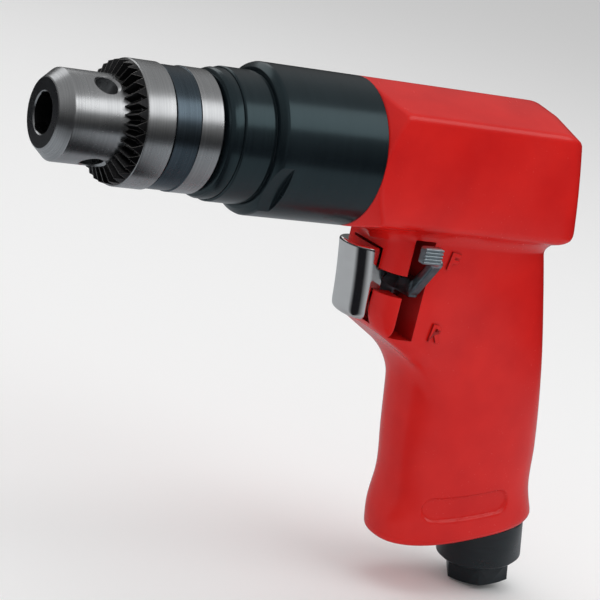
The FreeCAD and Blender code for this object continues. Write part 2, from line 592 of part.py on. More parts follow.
def makeHousing():
    block = box("fingerBox", ("$fingerX", "-$gripHalf", "$chinZ - 4"), ("$chinX + 14", "$gripHalf", "-16"))
    fingers = rounded("fingerRounded", block, "$fingerRound",
                      lambda box: box.XMax < value("$fingerX + 1") and box.ZLength > 1)
    chin = padded("chinWedge", [
        ("$fingerX - 1", "$fingerZ"), ("$fingerX + 1", "$fingerZ"), ("$chinX", "$chinZ"),
        ("$chinX + 20", "$chinZ - 3"), ("$chinX + 20", "$chinZ - 20"),
        ("$fingerX - 1", "$chinZ - 20")], "60")
    fingers = cut("fingerBlock", fingers, [chin])
    grip = cut("gripTrimmed", shaped("gripLoft", gripShape()), [baseTrim()])
    solid = fuse("housingSolid", [makeBarrel(), fingers, grip])
    keep("housing", cut("housingCut", solid, housingHollows()))


def gripShape():
    wires = []
    for i in range(1, int(value("$gripSections")) + 1):
        z, half = value("$grip%dZ" % i), value("$grip%dHalf" % i)
        front, rear = value("$grip%dFrontX" % i), value("$grip%dRearX" % i)
        centre = FreeCAD.Vector((front + rear) / 2, 0, z)
        tip = FreeCAD.Vector(rear, 0, z)
        side = FreeCAD.Vector(centre.x, half, z)
        wires.append(Part.Wire(Part.Ellipse(tip, side, centre).toShape()))
    return Part.makeLoft(wires, True, False)


def baseTrim():
    # Everything below the sloping plane of the grip's base.
    slope = "atan(($baseRearZ - $baseFrontZ) / ($baseRearX - $baseFrontX))"
    trim = doc.addObject("Part::Box", "baseTrim")
    bind(trim, "Length", "120")
    bind(trim, "Width", "60")
    bind(trim, "Height", "40")
    trim.Placement = FreeCAD.Placement(FreeCAD.Vector(0, -30, 0), FreeCAD.Rotation(yAxis, 1))
    bind(trim, "Placement.Rotation.Angle", "-(%s)" % slope)
    # the box's top face passes through the front of the base
    bind(trim, "Placement.Base.x", "$baseFrontX - 40 * cos(%s) + 40 * sin(%s)" % (slope, slope))
    bind(trim, "Placement.Base.z", "$baseFrontZ - 40 * sin(%s) - 40 * cos(%s)" % (slope, slope))
    return trim


def housingHollows():
    hollows = [
        cylinder("motorBore", "$motorRadius + $runningGap", "$motorBoreEndX - $caseRearX + 1",
                 ("$caseRearX - 1", "0", "0")),
        cylinder("skirtBore", "$skirtRadius + $fitGap", "$skirtRearX - $caseRearX + 1.3",
                 ("$caseRearX - 1", "0", "0")),
        cylinder("rearHollow", "11", "8", ("$motorBoreEndX - 1", "0", "0")),
        # pocket and slots in front of the grip
        box("triggerPocket", ("$fingerX - 1", "-$pocketHalf", "$triggerBottom - 0.4"),
            ("$slotX + 0.1", "$pocketHalf", "$triggerTop + 0.4")),
        box("fingerGap", ("$fingerX - 1", "-$gripHalf - 1", "$valveZ - 3.4"),
            ("$slotX + 0.1", "0", "$valveZ + 3.4")),
        box("leverSlot", ("$slotX", "-$gripHalf - 1", "$valveZ - 16.2"),
            ("$slotRearX", "-4", "$valveZ + 14.8")),
        cylinder("leverHollow", "9.4", "$slotRearX - $slotX", ("$slotX", "0", "$valveZ")),
        # valve bore and its chamber
        cylinder("valveBore", "$spoolRadius + $runningGap", "$seatRearX - $slotRearX + 0.3",
                 ("$slotRearX - 0.2", "0", "$valveZ")),
        cylinder("valveChamber", "$chamberRadius", "$chamberRearX - $seatRearX",
                 ("$seatRearX", "0", "$valveZ")),
        # air way up the grip, exhaust ways down it, and the inlet's bore
        cylinder("airWay", "3.6", "66", ("$chamberRearX - 5", "0", "$valveZ - 1"), "-66"),
        cylinder("inletBore", "$shankRadius + $fitGap", "40",
                 ("$inletX + ($shankTop - 0.3) * sin($gripRake)", "0",
                  "$inletZ - ($shankTop - 0.3) * cos($gripRake)"),
                 "$gripRake - 90"),
    ]
    for i, side in enumerate(("-1", "1")):
        hollows.append(cylinder("portDrill%d" % i, "2.2", "22",
                                ("$portX", side + " * 4.2", "$valveZ"), "90"))
        hollows.append(cylinder("exhaustDrill%d" % i, "2.6", "104", ("140", side + " * 9.8", "-16"), "-72"))
    return hollows


# ---- trigger, throttle and reverse valve ----

def makeTrigger():
    outer = padded("triggerOuter", [
        ("$triggerX - 2.8", "$triggerTop"), ("$triggerX - 2.2", "$triggerTop - 8"),
        ("$triggerX - 1.0", "$triggerTop - 16"), ("$triggerX", "$triggerBottom + 0.8"),
        ("$triggerX + 0.8", "$triggerBottom"), ("$triggerRearX", "$triggerBottom"),
        ("$triggerRearX", "$triggerTop")], "$triggerHalf * 2")
    hollow = box("triggerHollow", ("$triggerX + 2.2", "-$triggerHalf + $triggerWall", "$triggerBottom - 1"),
                 ("$triggerRearX + 1", "$triggerHalf - $triggerWall", "$triggerTop - $triggerWall"))
    shell = cut("triggerShell", outer, [hollow])
    doc.recompute()
    edges = []
    for index, edge in enumerate(shell.Shape.Edges, start=1):
        reach = edge.BoundBox
        if reach.YLength < 0.1 and abs(abs(reach.YMax) - value("$triggerHalf")) < 0.01:
            if reach.XMax < value("$triggerX + 0.1"):
                edges.append((index, 1.5, 1.5))
    rounded = doc.addObject("Part::Fillet", "triggerRounded")
    rounded.Base = shell
    rounded.Edges = edges
    tabs = []
    for i, inner in enumerate(("-$triggerHalf", "$triggerHalf - $triggerWall")):
        tabs.append(box("triggerTab%d" % i, ("$triggerRearX - 1", inner, "$valveZ - 4"),
                        ("$tabRearX", inner + " + $triggerWall", "$valveZ + 3")))
    boss = cylinder("triggerBoss", "3.2", "$leverX - $triggerTravel - $triggerX - 0.6",
                    ("$triggerX", "0", "$valveZ"))
    keep("trigger", cut("triggerBored", fuse("triggerWithBoss", [rounded, boss] + tabs), [
        cylinder("triggerStemHole", "$stemRadius + $fitGap", "10", ("$triggerX + 2", "0", "$valveZ"))]))
    keep("throttle_stem", turned("throttleStem", [
        ("$triggerX + 2.05", "0"), ("$triggerX + 2.05", "$stemRadius"), ("$poppetX", "$stemRadius"),
        ("$poppetX", "$poppetRadius"), ("$poppetRearX - 0.8", "$poppetRadius"),
        ("$poppetRearX", "$poppetRadius - 1.2"), ("$poppetRearX", "1.6"), ("$poppetRearX + 1.6", "1.6"),
        ("$poppetRearX + 1.6", "0")]))
    bind(parts["throttle_stem"], "Placement.Base.z", "$valveZ")
    helix = Part.makeHelix(value("($chamberRearX - $poppetRearX - 1.2) / $springTurns"),
                           value("$chamberRearX - $poppetRearX - 1.2"), value("$springRadius"))
    wire = Part.makeCircle(value("$springWire"), FreeCAD.Vector(value("$springRadius"), 0, 0), yAxis)
    coil = Part.Wire(helix.Edges).makePipeShell([Part.Wire([wire])], True, True)
    spring = shaped("valveSpring", coil)
    spring.Placement = FreeCAD.Placement(
        FreeCAD.Vector(value("$poppetRearX + 0.6"), 0, value("$valveZ")), FreeCAD.Rotation(yAxis, 90))
    keep("valve_spring", spring)


def makeReverseValve():
    plate = fuse("leverPlate", [
        cylinder("leverHub", "8.6", "$leverThickness", ("$leverX", "0", "$valveZ")),
        box("leverBar", ("$leverX", "-$leverReach", "$valveZ - 2.8"),
            ("$leverX + $leverThickness", "0", "$valveZ + 2.8")),
        leverArm(),
        leverPad()])
    keep("reverse_lever", cut("reverseLever", plate, [
        cylinder("leverHole", "$stemRadius + $runningGap + 0.05", "9", ("$leverX - 1", "0", "$valveZ"))]))
    spool = ring("spoolTurn", "$leverX + $leverThickness + 0.02", "$spoolRearX",
                 "$stemRadius + 0.1", "$spoolRadius")
    bind(spool, "Placement.Base.z", "$valveZ")
    windows = []
    for i, side in enumerate(("-1", "1")):
        windows.append(cylinder("spoolWindow%d" % i, "2.0", "9",
                                ("$portX", side + " * 4.2", "$valveZ"), "90"))
    keep("reverse_valve", cut("reverseValve", spool, windows))
    seat = ring("seatTurn", "$seatX", "$seatRearX", "3.2", "$spoolRadius + 0.02")
    bind(seat, "Placement.Base.z", "$valveZ")
    keep("throttle_seat", seat)


def leverArm():
    # The arm climbs from the end of the bar to the thumb pad, outside the grip.
    front = value("$leverX")
    foot, low, high = value("-$leverReach"), value("$valveZ - 2.8"), value("$valveZ + 2.8")
    reach, rise = value("-$padReach"), value("$valveZ + $padRise")
    corners = [(foot + 3.5, low), (foot + 3.5, high), (foot - 0.5, high), (reach + 1.2, rise),
               (reach - 2.6, rise), (foot - 2.6, low)]
    points = [FreeCAD.Vector(front, y, z) for y, z in corners]
    face = Part.Face(Part.makePolygon(points + points[:1]))
    return shaped("leverArm", face.extrude(FreeCAD.Vector(value("$leverThickness"), 0, 0)))


def leverPad():
    # A ribbed thumb pad, wider along X than the arm, with five ribs across its face.
    front, rise = value("$leverX - 1.6"), value("$valveZ + $padRise")
    reach = value("-$padReach")
    pad = Part.makeBox(6.4, 3.0, 6.6, FreeCAD.Vector(front, reach - 2.8, rise - 1.6))
    ribs = []
    for i in range(5):
        rib = Part.makeCylinder(0.5, 6.4, FreeCAD.Vector(front, reach - 2.8, rise - 1.0 + 1.3 * i), xAxis)
        ribs.append(rib)
    return shaped("leverPad", pad.fuse(ribs))


# ---- air inlet and exhaust, down the grip's axis ----

def downGrip(item):
    item.Placement = FreeCAD.Placement(
        FreeCAD.Vector(value("$inletX"), 0, value("$inletZ")),
        FreeCAD.Rotation(yAxis, 90 - value("$gripRake")))
    bind(item, "Placement.Base.x", "$inletX")
    bind(item, "Placement.Base.z", "$inletZ")
    bind(item, "Placement.Rotation.Angle", "90 - $gripRake")
    return item


def makeInlet():
    shank = turned("bushingTurn", [
        ("$shankTop", "4.6"), ("$shankTop", "$shankRadius"), ("$deflectorEnd + 0.1", "$shankRadius"),
        ("$deflectorEnd + 0.1", "13"), ("$hexEnd - 1.2", "13"), ("$hexEnd", "9.6"),
        ("$hexEnd", "$inletRadius"), ("$hexEnd - $inletDepth", "$inletRadius"),
        ("$hexEnd - $inletDepth", "4.6")])
    prism = doc.addObject("Part::Prism", "hexPrism")
    prism.Polygon = 6
    bind(prism, "Circumradius", "$hexAcross / 2 / cos(30)")
    bind(prism, "Height", "60")
    place(prism, ("-30", "0", "0"), "0")
    keep("inlet_bushing", downGrip(common("inletBushing", shank, prism)))
    keep("inlet_screen", downGrip(turned("inletScreen", [
        ("$hexEnd - $inletDepth - 1", "0"), ("$hexEnd - $inletDepth - 1", "4.58"),
        ("$hexEnd - $inletDepth - 0.2", "4.58"), ("$hexEnd - $inletDepth - 0.2", "0")])))
    cup = turned("deflectorTurn", [
        ("$deflectorTop", "11.4"), ("$deflectorTop", "$deflectorRadius - 0.4"),
        ("$deflectorTop + 0.4", "$deflectorRadius"), ("$deflectorEnd - 1.2", "$deflectorRadius"),
        ("$deflectorEnd", "$deflectorRadius - 1.2"), ("$deflectorEnd", "$shankRadius + 0.08"),
        ("$deflectorEnd - 2.4", "$shankRadius + 0.08"), ("$deflectorEnd - 2.4", "11.4")])
    # the windows start on the right side and swing round with the cup
    windows = []
    for i in range(5):
        bar = cylinder("deflectorDrill%d" % i, "1.5", "16", ("$deflectorTop + 5.5", "0", "5"), "90")
        windows.append(spun("deflectorWindow%d" % i, bar, 30 * (i - 2) - 90))
    keep("exhaust_deflector", downGrip(cut("exhaustDeflector", cup, windows)))
    keep("muffler_felt", downGrip(ring(
        "mufflerFelt", "$deflectorTop + 0.3", "$deflectorEnd - 2.8", "$shankRadius + 0.3", "11.0")))


def checkAndExport():
    doc.recompute()
    for item in doc.Objects:
        if "Invalid" in item.State or "Error" in item.State:
            raise RuntimeError("%s failed to compute: %s" % (item.Name, item.State))
    for label, item in parts.items():
        shape = item.Shape
        if shape.isNull() or not shape.isValid() or shape.Volume < 0.5:
            raise RuntimeError("%s has no sound shape" % label)
    os.makedirs("parts", exist_ok=True)
    for label, item in parts.items():
        item.Shape.exportStep(os.path.join("parts", label + ".step"))
        print("%-28s %10.1f mm3  %d solid(s)" % (label, item.Shape.Volume, len(item.Shape.Solids)))


makeChuckBody()
makeSleeve()
makeNutHalves()
makeJaws()
makeChuckScrew()
makeSpindle()
makePlanets()
makeRingGear()
for bearing in bearings:
    makeBearing(*bearing)
makeFrontCap()
makeGearCase()
makeMotorPlates()
makeRotor()
makeHousing()
makeTrigger()
makeReverseValve()
makeInlet()
checkAndExport()
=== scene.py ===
import json
import math

import bmesh
import bpy
import numpy as np
from mathutils import Matrix, Vector
from mathutils.bvhtree import BVHTree


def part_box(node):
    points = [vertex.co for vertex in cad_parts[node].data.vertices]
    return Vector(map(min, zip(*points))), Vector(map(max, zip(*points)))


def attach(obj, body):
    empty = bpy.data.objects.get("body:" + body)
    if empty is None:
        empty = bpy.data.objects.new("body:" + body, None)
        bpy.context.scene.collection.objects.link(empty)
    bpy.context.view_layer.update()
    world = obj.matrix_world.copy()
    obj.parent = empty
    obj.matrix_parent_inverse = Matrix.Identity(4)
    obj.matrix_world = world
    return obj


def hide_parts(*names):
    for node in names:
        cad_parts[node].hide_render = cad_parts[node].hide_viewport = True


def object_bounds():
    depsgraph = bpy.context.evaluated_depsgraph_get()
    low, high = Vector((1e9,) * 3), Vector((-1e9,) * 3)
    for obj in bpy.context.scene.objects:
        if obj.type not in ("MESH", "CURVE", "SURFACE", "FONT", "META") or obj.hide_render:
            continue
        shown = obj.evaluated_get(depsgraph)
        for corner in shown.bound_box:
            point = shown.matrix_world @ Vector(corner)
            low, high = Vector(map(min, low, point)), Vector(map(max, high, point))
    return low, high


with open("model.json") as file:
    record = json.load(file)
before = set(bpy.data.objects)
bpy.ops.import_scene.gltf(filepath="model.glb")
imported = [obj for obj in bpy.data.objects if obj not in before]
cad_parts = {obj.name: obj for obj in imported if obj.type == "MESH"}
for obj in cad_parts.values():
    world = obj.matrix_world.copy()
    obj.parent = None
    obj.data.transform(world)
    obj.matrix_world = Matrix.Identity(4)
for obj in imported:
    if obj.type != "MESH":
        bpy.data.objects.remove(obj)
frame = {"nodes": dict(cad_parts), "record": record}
cadLow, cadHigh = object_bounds()
mm = 0.001
nodeSlot = {entry["node"]: entry["material_slot"] for entry in frame["record"]["subparts"]}
print("stage: frame loaded,", len(nodeSlot), "nodes")


def boxOf(node):
    return [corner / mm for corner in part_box(node)]


def middle(node):
    low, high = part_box(node)
    return (low + high) / 2 / mm


# ---- finishes ----

def newGroup(name, inputs, *outputs):
    # Inputs are numbers with their defaults, or vectors where there is none.
    tree = bpy.data.node_groups.new(name, "ShaderNodeTree")
    for label, default in inputs.items():
        kind = "NodeSocketVector" if default is None else "NodeSocketFloat"
        socket = tree.interface.new_socket(label, in_out="INPUT", socket_type=kind)
        if default is not None:
            socket.default_value = default
    for label in outputs:
        kind = "NodeSocketVector" if label == "Normal" else "NodeSocketFloat"
        tree.interface.new_socket(label, in_out="OUTPUT", socket_type=kind)
    return tree, tree.nodes.new("NodeGroupInput"), tree.nodes.new("NodeGroupOutput")


def put(tree, kind, links=(), **values):
    node = tree.nodes.new(kind)
    for name, value in values.items():
        setattr(node, name, value)
    for socket, source in links:
        target = node.inputs[socket]
        if isinstance(source, bpy.types.NodeSocket):
            tree.links.new(source, target)
        else:
            target.default_value = source
    return node


def give(tree, taker, **sources):
    # Joins each source to the input of that name.
    for name, source in sources.items():
        tree.links.new(source, taker.inputs[name.replace("_", " ")])


def mathNode(tree, operation, *sources):
    return put(tree, "ShaderNodeMath", list(enumerate(sources)), operation=operation).outputs[0]


def blend(tree, first, firstShare, second, secondShare):
    # The sum of two values, each times its share.
    return mathNode(tree, "ADD", mathNode(tree, "MULTIPLY", first, firstShare),
                    mathNode(tree, "MULTIPLY", second, secondShare))


def spread(tree, source, low, high, outLow, outHigh):
    links = [(0, source), (1, low), (2, high), (3, outLow), (4, outHigh)]
    return put(tree, "ShaderNodeMapRange", links).outputs[0]


def mixColour(tree, factor, first, second):
    links = [(0, factor), (6, first), (7, second)]
    return put(tree, "ShaderNodeMix", links, data_type="RGBA").outputs[2]


def noise(tree, place, scale, detail, **more):
    links = [("Vector", place), ("Scale", scale), ("Detail", detail), *more.items()]
    return put(tree, "ShaderNodeTexNoise", links).outputs[0]


def ownPlace(tree):
    # Points in the piece's own axes.
    return put(tree, "ShaderNodeTexCoord").outputs["Object"]


def makeEdgeWear():
    # Softens sharp edges to the eye and marks where handling has rubbed them.
    tree, enter, leave = newGroup("edgeWear", {"Radius": 0.0002, "Reach": 4.0, "Patches": 300.0},
                                  "Mask", "Normal")
    bevel = put(tree, "ShaderNodeBevel", [("Radius", enter.outputs["Radius"])], samples=6)
    flat = put(tree, "ShaderNodeNewGeometry")
    dot = put(tree, "ShaderNodeVectorMath", [(0, bevel.outputs[0]), (1, flat.outputs["Normal"])],
              operation="DOT_PRODUCT")
    turn = mathNode(tree, "SUBTRACT", 1.0, dot.outputs["Value"])
    patches = noise(tree, ownPlace(tree), enter.outputs["Patches"], 3.0)
    broken = spread(tree, patches, 0.35, 0.6, 0.35, 1.0)
    worn = mathNode(tree, "MULTIPLY", mathNode(tree, "MULTIPLY", turn, enter.outputs["Reach"]), broken)
    mask = put(tree, "ShaderNodeClamp", [(0, worn)])
    give(tree, leave, Mask=mask.outputs[0], Normal=bevel.outputs[0])
    return tree


def makeTurnedMarks():
    # Fine rings about the X axis on barrels and on end faces alike, as a lathe leaves them.
    tree, enter, leave = newGroup("turnedMarks", {"Vector": None, "Rings": 2500.0, "Wander": 40.0},
                                  "Height", "Tone")
    x, y, z = put(tree, "ShaderNodeSeparateXYZ", [(0, enter.outputs["Vector"])]).outputs
    radius = mathNode(tree, "SQRT", blend(tree, y, y, z, z))
    around = mathNode(tree, "ARCTAN2", y, z)
    drift = put(tree, "ShaderNodeCombineXYZ", [
        ("X", mathNode(tree, "MULTIPLY", x, enter.outputs["Rings"])),
        ("Y", mathNode(tree, "MULTIPLY", radius, enter.outputs["Rings"])),
        ("Z", mathNode(tree, "MULTIPLY", around, 0.35))])
    fine = noise(tree, drift.outputs[0], 1.0, 4.0, Roughness=0.65)
    slow = noise(tree, enter.outputs["Vector"], enter.outputs["Wander"], 2.0)
    give(tree, leave, Height=fine, Tone=blend(tree, fine, 0.7, slow, 0.3))
    return tree


def makeCastSkin():
    # Slow waves of a casting under a sprayed coat, with fine orange peel on top.
    tree, enter, leave = newGroup("castSkin", {"Waves": 120.0, "Peel": 1400.0}, "Height", "Tone", "Specks")
    place = ownPlace(tree)
    waves = noise(tree, place, enter.outputs["Waves"], 3.0)
    peel = noise(tree, place, enter.outputs["Peel"], 2.0)
    specks = put(tree, "ShaderNodeTexVoronoi", [("Vector", place), ("Scale", enter.outputs["Peel"])])
    give(tree, leave, Height=blend(tree, waves, 0.75, peel, 0.25), Tone=waves,
         Specks=spread(tree, specks.outputs[0], 0.0, 0.25, 1.0, 0.0))
    return tree


def makeHandling():
    # Smears, faint scratches and settled dust.
    tree, enter, leave = newGroup("handling", {"Smears": 60.0, "Scratches": 1600.0},
                                  "Smear", "Scratch", "Dust")
    place = ownPlace(tree)
    smear = noise(tree, place, enter.outputs["Smears"], 5.0, Distortion=0.6)
    lines = put(tree, "ShaderNodeMapping", [("Vector", place), ("Rotation", (0.4, 0.9, 0.2)),
                                            ("Scale", (1.0, 0.04, 1.0))])
    scratch = noise(tree, lines.outputs[0], enter.outputs["Scratches"], 2.0)
    flat = put(tree, "ShaderNodeNewGeometry")
    facing = put(tree, "ShaderNodeSeparateXYZ", [(0, flat.outputs["Normal"])])
    settled = mathNode(tree, "MULTIPLY", spread(tree, facing.outputs["Z"], 0.2, 1.0, 0.0, 1.0), smear)
    give(tree, leave, Smear=smear, Scratch=spread(tree, scratch, 0.69, 0.78, 0.0, 1.0), Dust=settled)
    return tree


edgeWear, turnedMarks, castSkin, handling = makeEdgeWear(), makeTurnedMarks(), makeCastSkin(), makeHandling()


def useGroup(tree, source, **values):
    node = tree.nodes.new("ShaderNodeGroup")
    node.node_tree = source
    for name, value in values.items():
        node.inputs[name].default_value = value
    return node


def startFinish(name, metallic, **fixed):
    finish = bpy.data.materials.new(name)
    finish.use_nodes = True
    tree = finish.node_tree
    shader = tree.nodes["Principled BSDF"]
    shader.inputs["Metallic"].default_value = metallic
    for label, value in fixed.items():
        shader.inputs[label.replace("_", " ")].default_value = value
    return finish, tree, shader


def rgb(colour):
    return (*colour, 1.0)


def roughened(tree, sizes, touch, share):
    # Roughness that follows the smears and rises by a share in the scratches.
    rough = spread(tree, touch.outputs["Smear"], 0.3, 0.7, *sizes["rough"])
    return mathNode(tree, "ADD", rough, mathNode(tree, "MULTIPLY", touch.outputs["Scratch"], share))


def bumped(tree, sizes, height, *normal):
    # The shading normal for a height, on top of the normal that is given, if any.
    links = [("Strength", sizes.get("strength", 0.25)), ("Distance", sizes.get("depth", 0.02) * mm),
             ("Height", height), *(("Normal", source) for source in normal)]
    return put(tree, "ShaderNodeBump", links).outputs[0]


def metalFinish(name, sizes):
    finish, tree, shader = startFinish(name, sizes.get("metallic", 1.0), **sizes.get("fixed", {}))
    centre = put(tree, "ShaderNodeMapping", [
        ("Vector", ownPlace(tree)), ("Location", sizes.get("start", (0.0, 0.0, 0.0))),
        ("Rotation", sizes.get("turn", (0.0, 0.0, 0.0)))], vector_type="TEXTURE")
    marks = useGroup(tree, turnedMarks, Rings=sizes["rings"], Wander=sizes.get("wander", 40.0))
    give(tree, marks, Vector=centre.outputs[0])
    edge = useGroup(tree, edgeWear, Radius=sizes.get("edge", 0.15) * mm, Reach=sizes.get("wear", 4.0))
    tone = spread(tree, marks.outputs["Tone"], 0.32, 0.68, 0.0, 1.0)
    colour = mixColour(tree, tone, rgb(sizes["dark"]), rgb(sizes["light"]))
    colour = mixColour(tree, edge.outputs["Mask"], colour, rgb(sizes.get("bare", sizes["light"])))
    give(tree, shader, Base_Color=colour, Roughness=roughened(tree, sizes, useGroup(tree, handling), 0.08),
         Normal=bumped(tree, sizes, marks.outputs["Height"], edge.outputs["Normal"]))
    return finish


def paintFinish(name, sizes):
    finish, tree, shader = startFinish(name, 0.0, **sizes["fixed"])
    skin = useGroup(tree, castSkin, Waves=sizes["waves"], Peel=sizes["peel"])
    edge = useGroup(tree, edgeWear, Radius=sizes["edge"] * mm, Reach=sizes["wear"])
    touch = useGroup(tree, handling, Smears=45.0)
    colour = mixColour(tree, spread(tree, skin.outputs["Tone"], 0.3, 0.7, 0.0, 1.0),
                       rgb(sizes["dark"]), rgb(sizes["light"]))
    thinned = mathNode(tree, "MULTIPLY", edge.outputs["Mask"], 0.5)
    colour = mixColour(tree, thinned, colour, rgb(sizes["thin"]))
    dusty = mathNode(tree, "MULTIPLY", touch.outputs["Dust"], 0.008)
    colour = mixColour(tree, dusty, colour, rgb(sizes["dust"]))
    give(tree, shader, Base_Color=colour, Roughness=roughened(tree, sizes, touch, 0.06),
         Normal=bumped(tree, sizes, skin.outputs["Height"], edge.outputs["Normal"]))
    return finish


def softFinish(name, sizes):
    finish, tree, shader = startFinish(name, 0.0, **sizes.get("fixed", {}))
    skin = useGroup(tree, castSkin, Waves=sizes["waves"], Peel=sizes["peel"])
    tone = blend(tree, skin.outputs["Tone"], 0.6, skin.outputs["Specks"], 0.4)
    give(tree, shader, Base_Color=mixColour(tree, tone, rgb(sizes["dark"]), rgb(sizes["light"])),
         Roughness=spread(tree, skin.outputs["Tone"], 0.3, 0.7, *sizes["rough"]),
         Normal=bumped(tree, sizes, skin.outputs["Specks"]))
    return finish


gripRake = math.radians(11.81)
downStart = (middle("inlet_bushing").x * mm, 0.0, middle("inlet_bushing").z * mm)
downTurn = (0.0, math.pi / 2 - gripRake, 0.0)

steelFinishes = {
    "ground_steel": {"dark": (0.38, 0.39, 0.40), "light": (0.58, 0.59, 0.60), "rough": (0.24, 0.3),
                     "rings": 3200.0, "strength": 0.3, "depth": 0.012, "edge": 0.1, "bare": (0.8, 0.8, 0.79)},
    "black_case": {"dark": (0.003, 0.005, 0.007), "light": (0.008, 0.012, 0.015), "rough": (0.2, 0.24),
                   "rings": 1800.0, "metallic": 0.0, "strength": 0.06, "depth": 0.006, "edge": 0.2,
                   "wear": 1.2, "bare": (0.10, 0.11, 0.12),
                   "fixed": {"Coat_Weight": 0.0, "Specular_IOR_Level": 0.62,
                             "Specular_Tint": (0.62, 0.92, 1.0, 1.0)}},
    "dark_steel": {"dark": (0.045, 0.045, 0.05), "light": (0.11, 0.11, 0.12), "rough": (0.28, 0.4),
                   "rings": 1500.0, "strength": 0.2, "bare": (0.5, 0.5, 0.5)},
    "bright_steel": {"dark": (0.42, 0.42, 0.42), "light": (0.66, 0.66, 0.66), "rough": (0.25, 0.35),
                     "rings": 2500.0},
    "bearing_steel": {"dark": (0.6, 0.6, 0.62), "light": (0.75, 0.75, 0.77), "rough": (0.06, 0.12),
                      "rings": 4000.0, "strength": 0.08},
    "cast_plate": {"dark": (0.2, 0.2, 0.2), "light": (0.34, 0.34, 0.33), "rough": (0.38, 0.5),
                   "rings": 900.0, "strength": 0.4},
    "chrome_plate": {"dark": (0.84, 0.83, 0.82), "light": (0.92, 0.91, 0.9), "rough": (0.06, 0.14),
                     "rings": 260.0, "wander": 180.0, "strength": 0.1, "depth": 0.05, "edge": 0.2},
    "zinc_plate": {"dark": (0.3, 0.36, 0.39), "light": (0.46, 0.52, 0.56), "rough": (0.28, 0.42),
                   "rings": 1100.0, "strength": 0.25, "edge": 0.15, "bare": (0.5, 0.55, 0.58)},
    "brass_seat": {"dark": (0.55, 0.38, 0.14), "light": (0.72, 0.52, 0.22), "rough": (0.22, 0.34),
                   "rings": 2200.0},
    "black_fitting": {"dark": (0.003, 0.006, 0.008), "light": (0.009, 0.015, 0.019), "rough": (0.26, 0.38),
                      "rings": 1600.0, "metallic": 0.0, "edge": 0.2, "wear": 1.5, "bare": (0.13, 0.15, 0.16),
                      "start": downStart, "turn": downTurn, "fixed": {"Coat_Weight": 0.2}},
}
paintSizes = {"dark": (0.58, 0.007, 0.006), "light": (0.68, 0.012, 0.009), "thin": (0.75, 0.035, 0.025),
              "dust": (0.75, 0.7, 0.66), "rough": (0.2, 0.27), "waves": 60.0, "peel": 1000.0, "edge": 0.4,
              "wear": 1.2, "strength": 0.08, "depth": 0.05, "fixed": {"Specular_IOR_Level": 0.42}}
softSizes = {
    "seal_rubber": {"dark": (0.012, 0.012, 0.012), "light": (0.03, 0.03, 0.03), "rough": (0.55, 0.75),
                    "waves": 300.0, "peel": 4000.0, "strength": 0.3, "depth": 0.03},
    "white_felt": {"dark": (0.55, 0.55, 0.52), "light": (0.86, 0.86, 0.83), "rough": (0.85, 0.95),
                   "waves": 500.0, "peel": 3500.0, "strength": 0.8, "depth": 0.2,
                   "fixed": {"Sheen_Weight": 0.5}},
    "vane_laminate": {"dark": (0.12, 0.06, 0.025), "light": (0.28, 0.15, 0.06), "rough": (0.4, 0.55),
                      "waves": 150.0, "peel": 2500.0, "strength": 0.25, "depth": 0.03},
}
finishes = {name: metalFinish(name, sizes) for name, sizes in steelFinishes.items()}
finishes.update({name: softFinish(name, sizes) for name, sizes in softSizes.items()})
finishes["red_paint"] = paintFinish("red_paint", paintSizes)
# A darker copy of the red paint: painted shade for recesses in the housing and for the sides of the raised
# letters.
recessShadowPaint = paintFinish("recess_painted_shadow", {
    **paintSizes, "dark": (0.26, 0.004, 0.004), "light": (0.4, 0.007, 0.006), "thin": (0.4, 0.02, 0.02),
    "rough": (0.35, 0.5)})
# A darker copy of the zinc plate: painted shade for the lever's arm and hub, which sit back in the slot.
leverArmShadowPaint = metalFinish("lever_arm_painted_shadow", {
    **steelFinishes["zinc_plate"], "dark": (0.10, 0.13, 0.15), "light": (0.22, 0.27, 0.30),
    "rough": (0.22, 0.34), "edge": 0.3, "bare": (0.55, 0.6, 0.63)})
bluedBand = metalFinish("blued_band", {
    "dark": (0.055, 0.075, 0.092), "light": (0.11, 0.145, 0.175), "rough": (0.22, 0.32), "rings": 3000.0,
    "strength": 0.25, "edge": 0.12, "bare": (0.4, 0.4, 0.4)})
toothOxide = metalFinish("tooth_oxide", {
    "dark": (0.02, 0.02, 0.022), "light": (0.06, 0.06, 0.062), "rough": (0.26, 0.38), "rings": 2000.0,
    "strength": 0.2, "edge": 0.16, "wear": 6.0, "bare": (0.72, 0.7, 0.68)})
# A dark steel finish: painted shade for the insides of the housing's motor bore and the chuck's mouth.
boreShadowPaint = metalFinish("bore_painted_shadow", {
    "dark": (0.05, 0.05, 0.052), "light": (0.12, 0.12, 0.125), "rough": (0.35, 0.45), "rings": 2200.0})
print("stage: finishes ready")


# ---- helpers for meshes ----

def addObject(name, data):
    item = bpy.data.objects.new(name, data)
    bpy.context.scene.collection.objects.link(item)
    return item


def bakedMesh(item):
    # The mesh of an object with its modifiers applied.
    return bpy.data.meshes.new_from_object(item.evaluated_get(bpy.context.evaluated_depsgraph_get()))


def closedOff(name, work):
    made = bpy.data.meshes.new(name)
    work.to_mesh(made)
    work.free()
    return made


def aimed(start, direction):
    # Carries a shape made along X to a start in millimetres and turns it to a direction.
    turn = Vector((1, 0, 0)).rotation_difference(direction).to_matrix().to_4x4()
    return Matrix.Translation(start * mm) @ turn


def newPiece(name, mesh, body, node=None, materials=()):
    piece = addObject(name, mesh)
    for material in materials:
        mesh.materials.append(material)
    if materials:
        for face in mesh.polygons:
            face.material_index = 0
    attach(piece, body)
    if node:
        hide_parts(node)
    return piece


def smoothed(mesh, angle=32.0):
    mesh.shade_smooth()
    mesh.set_sharp_from_angle(angle=math.radians(angle))
    return mesh


def plainMesh(name, points, faces):
    mesh = bpy.data.meshes.new(name)
    mesh.from_pydata([tuple(p) for p in np.asarray(points) * mm], [], [tuple(f) for f in faces])
    mesh.validate()
    return mesh


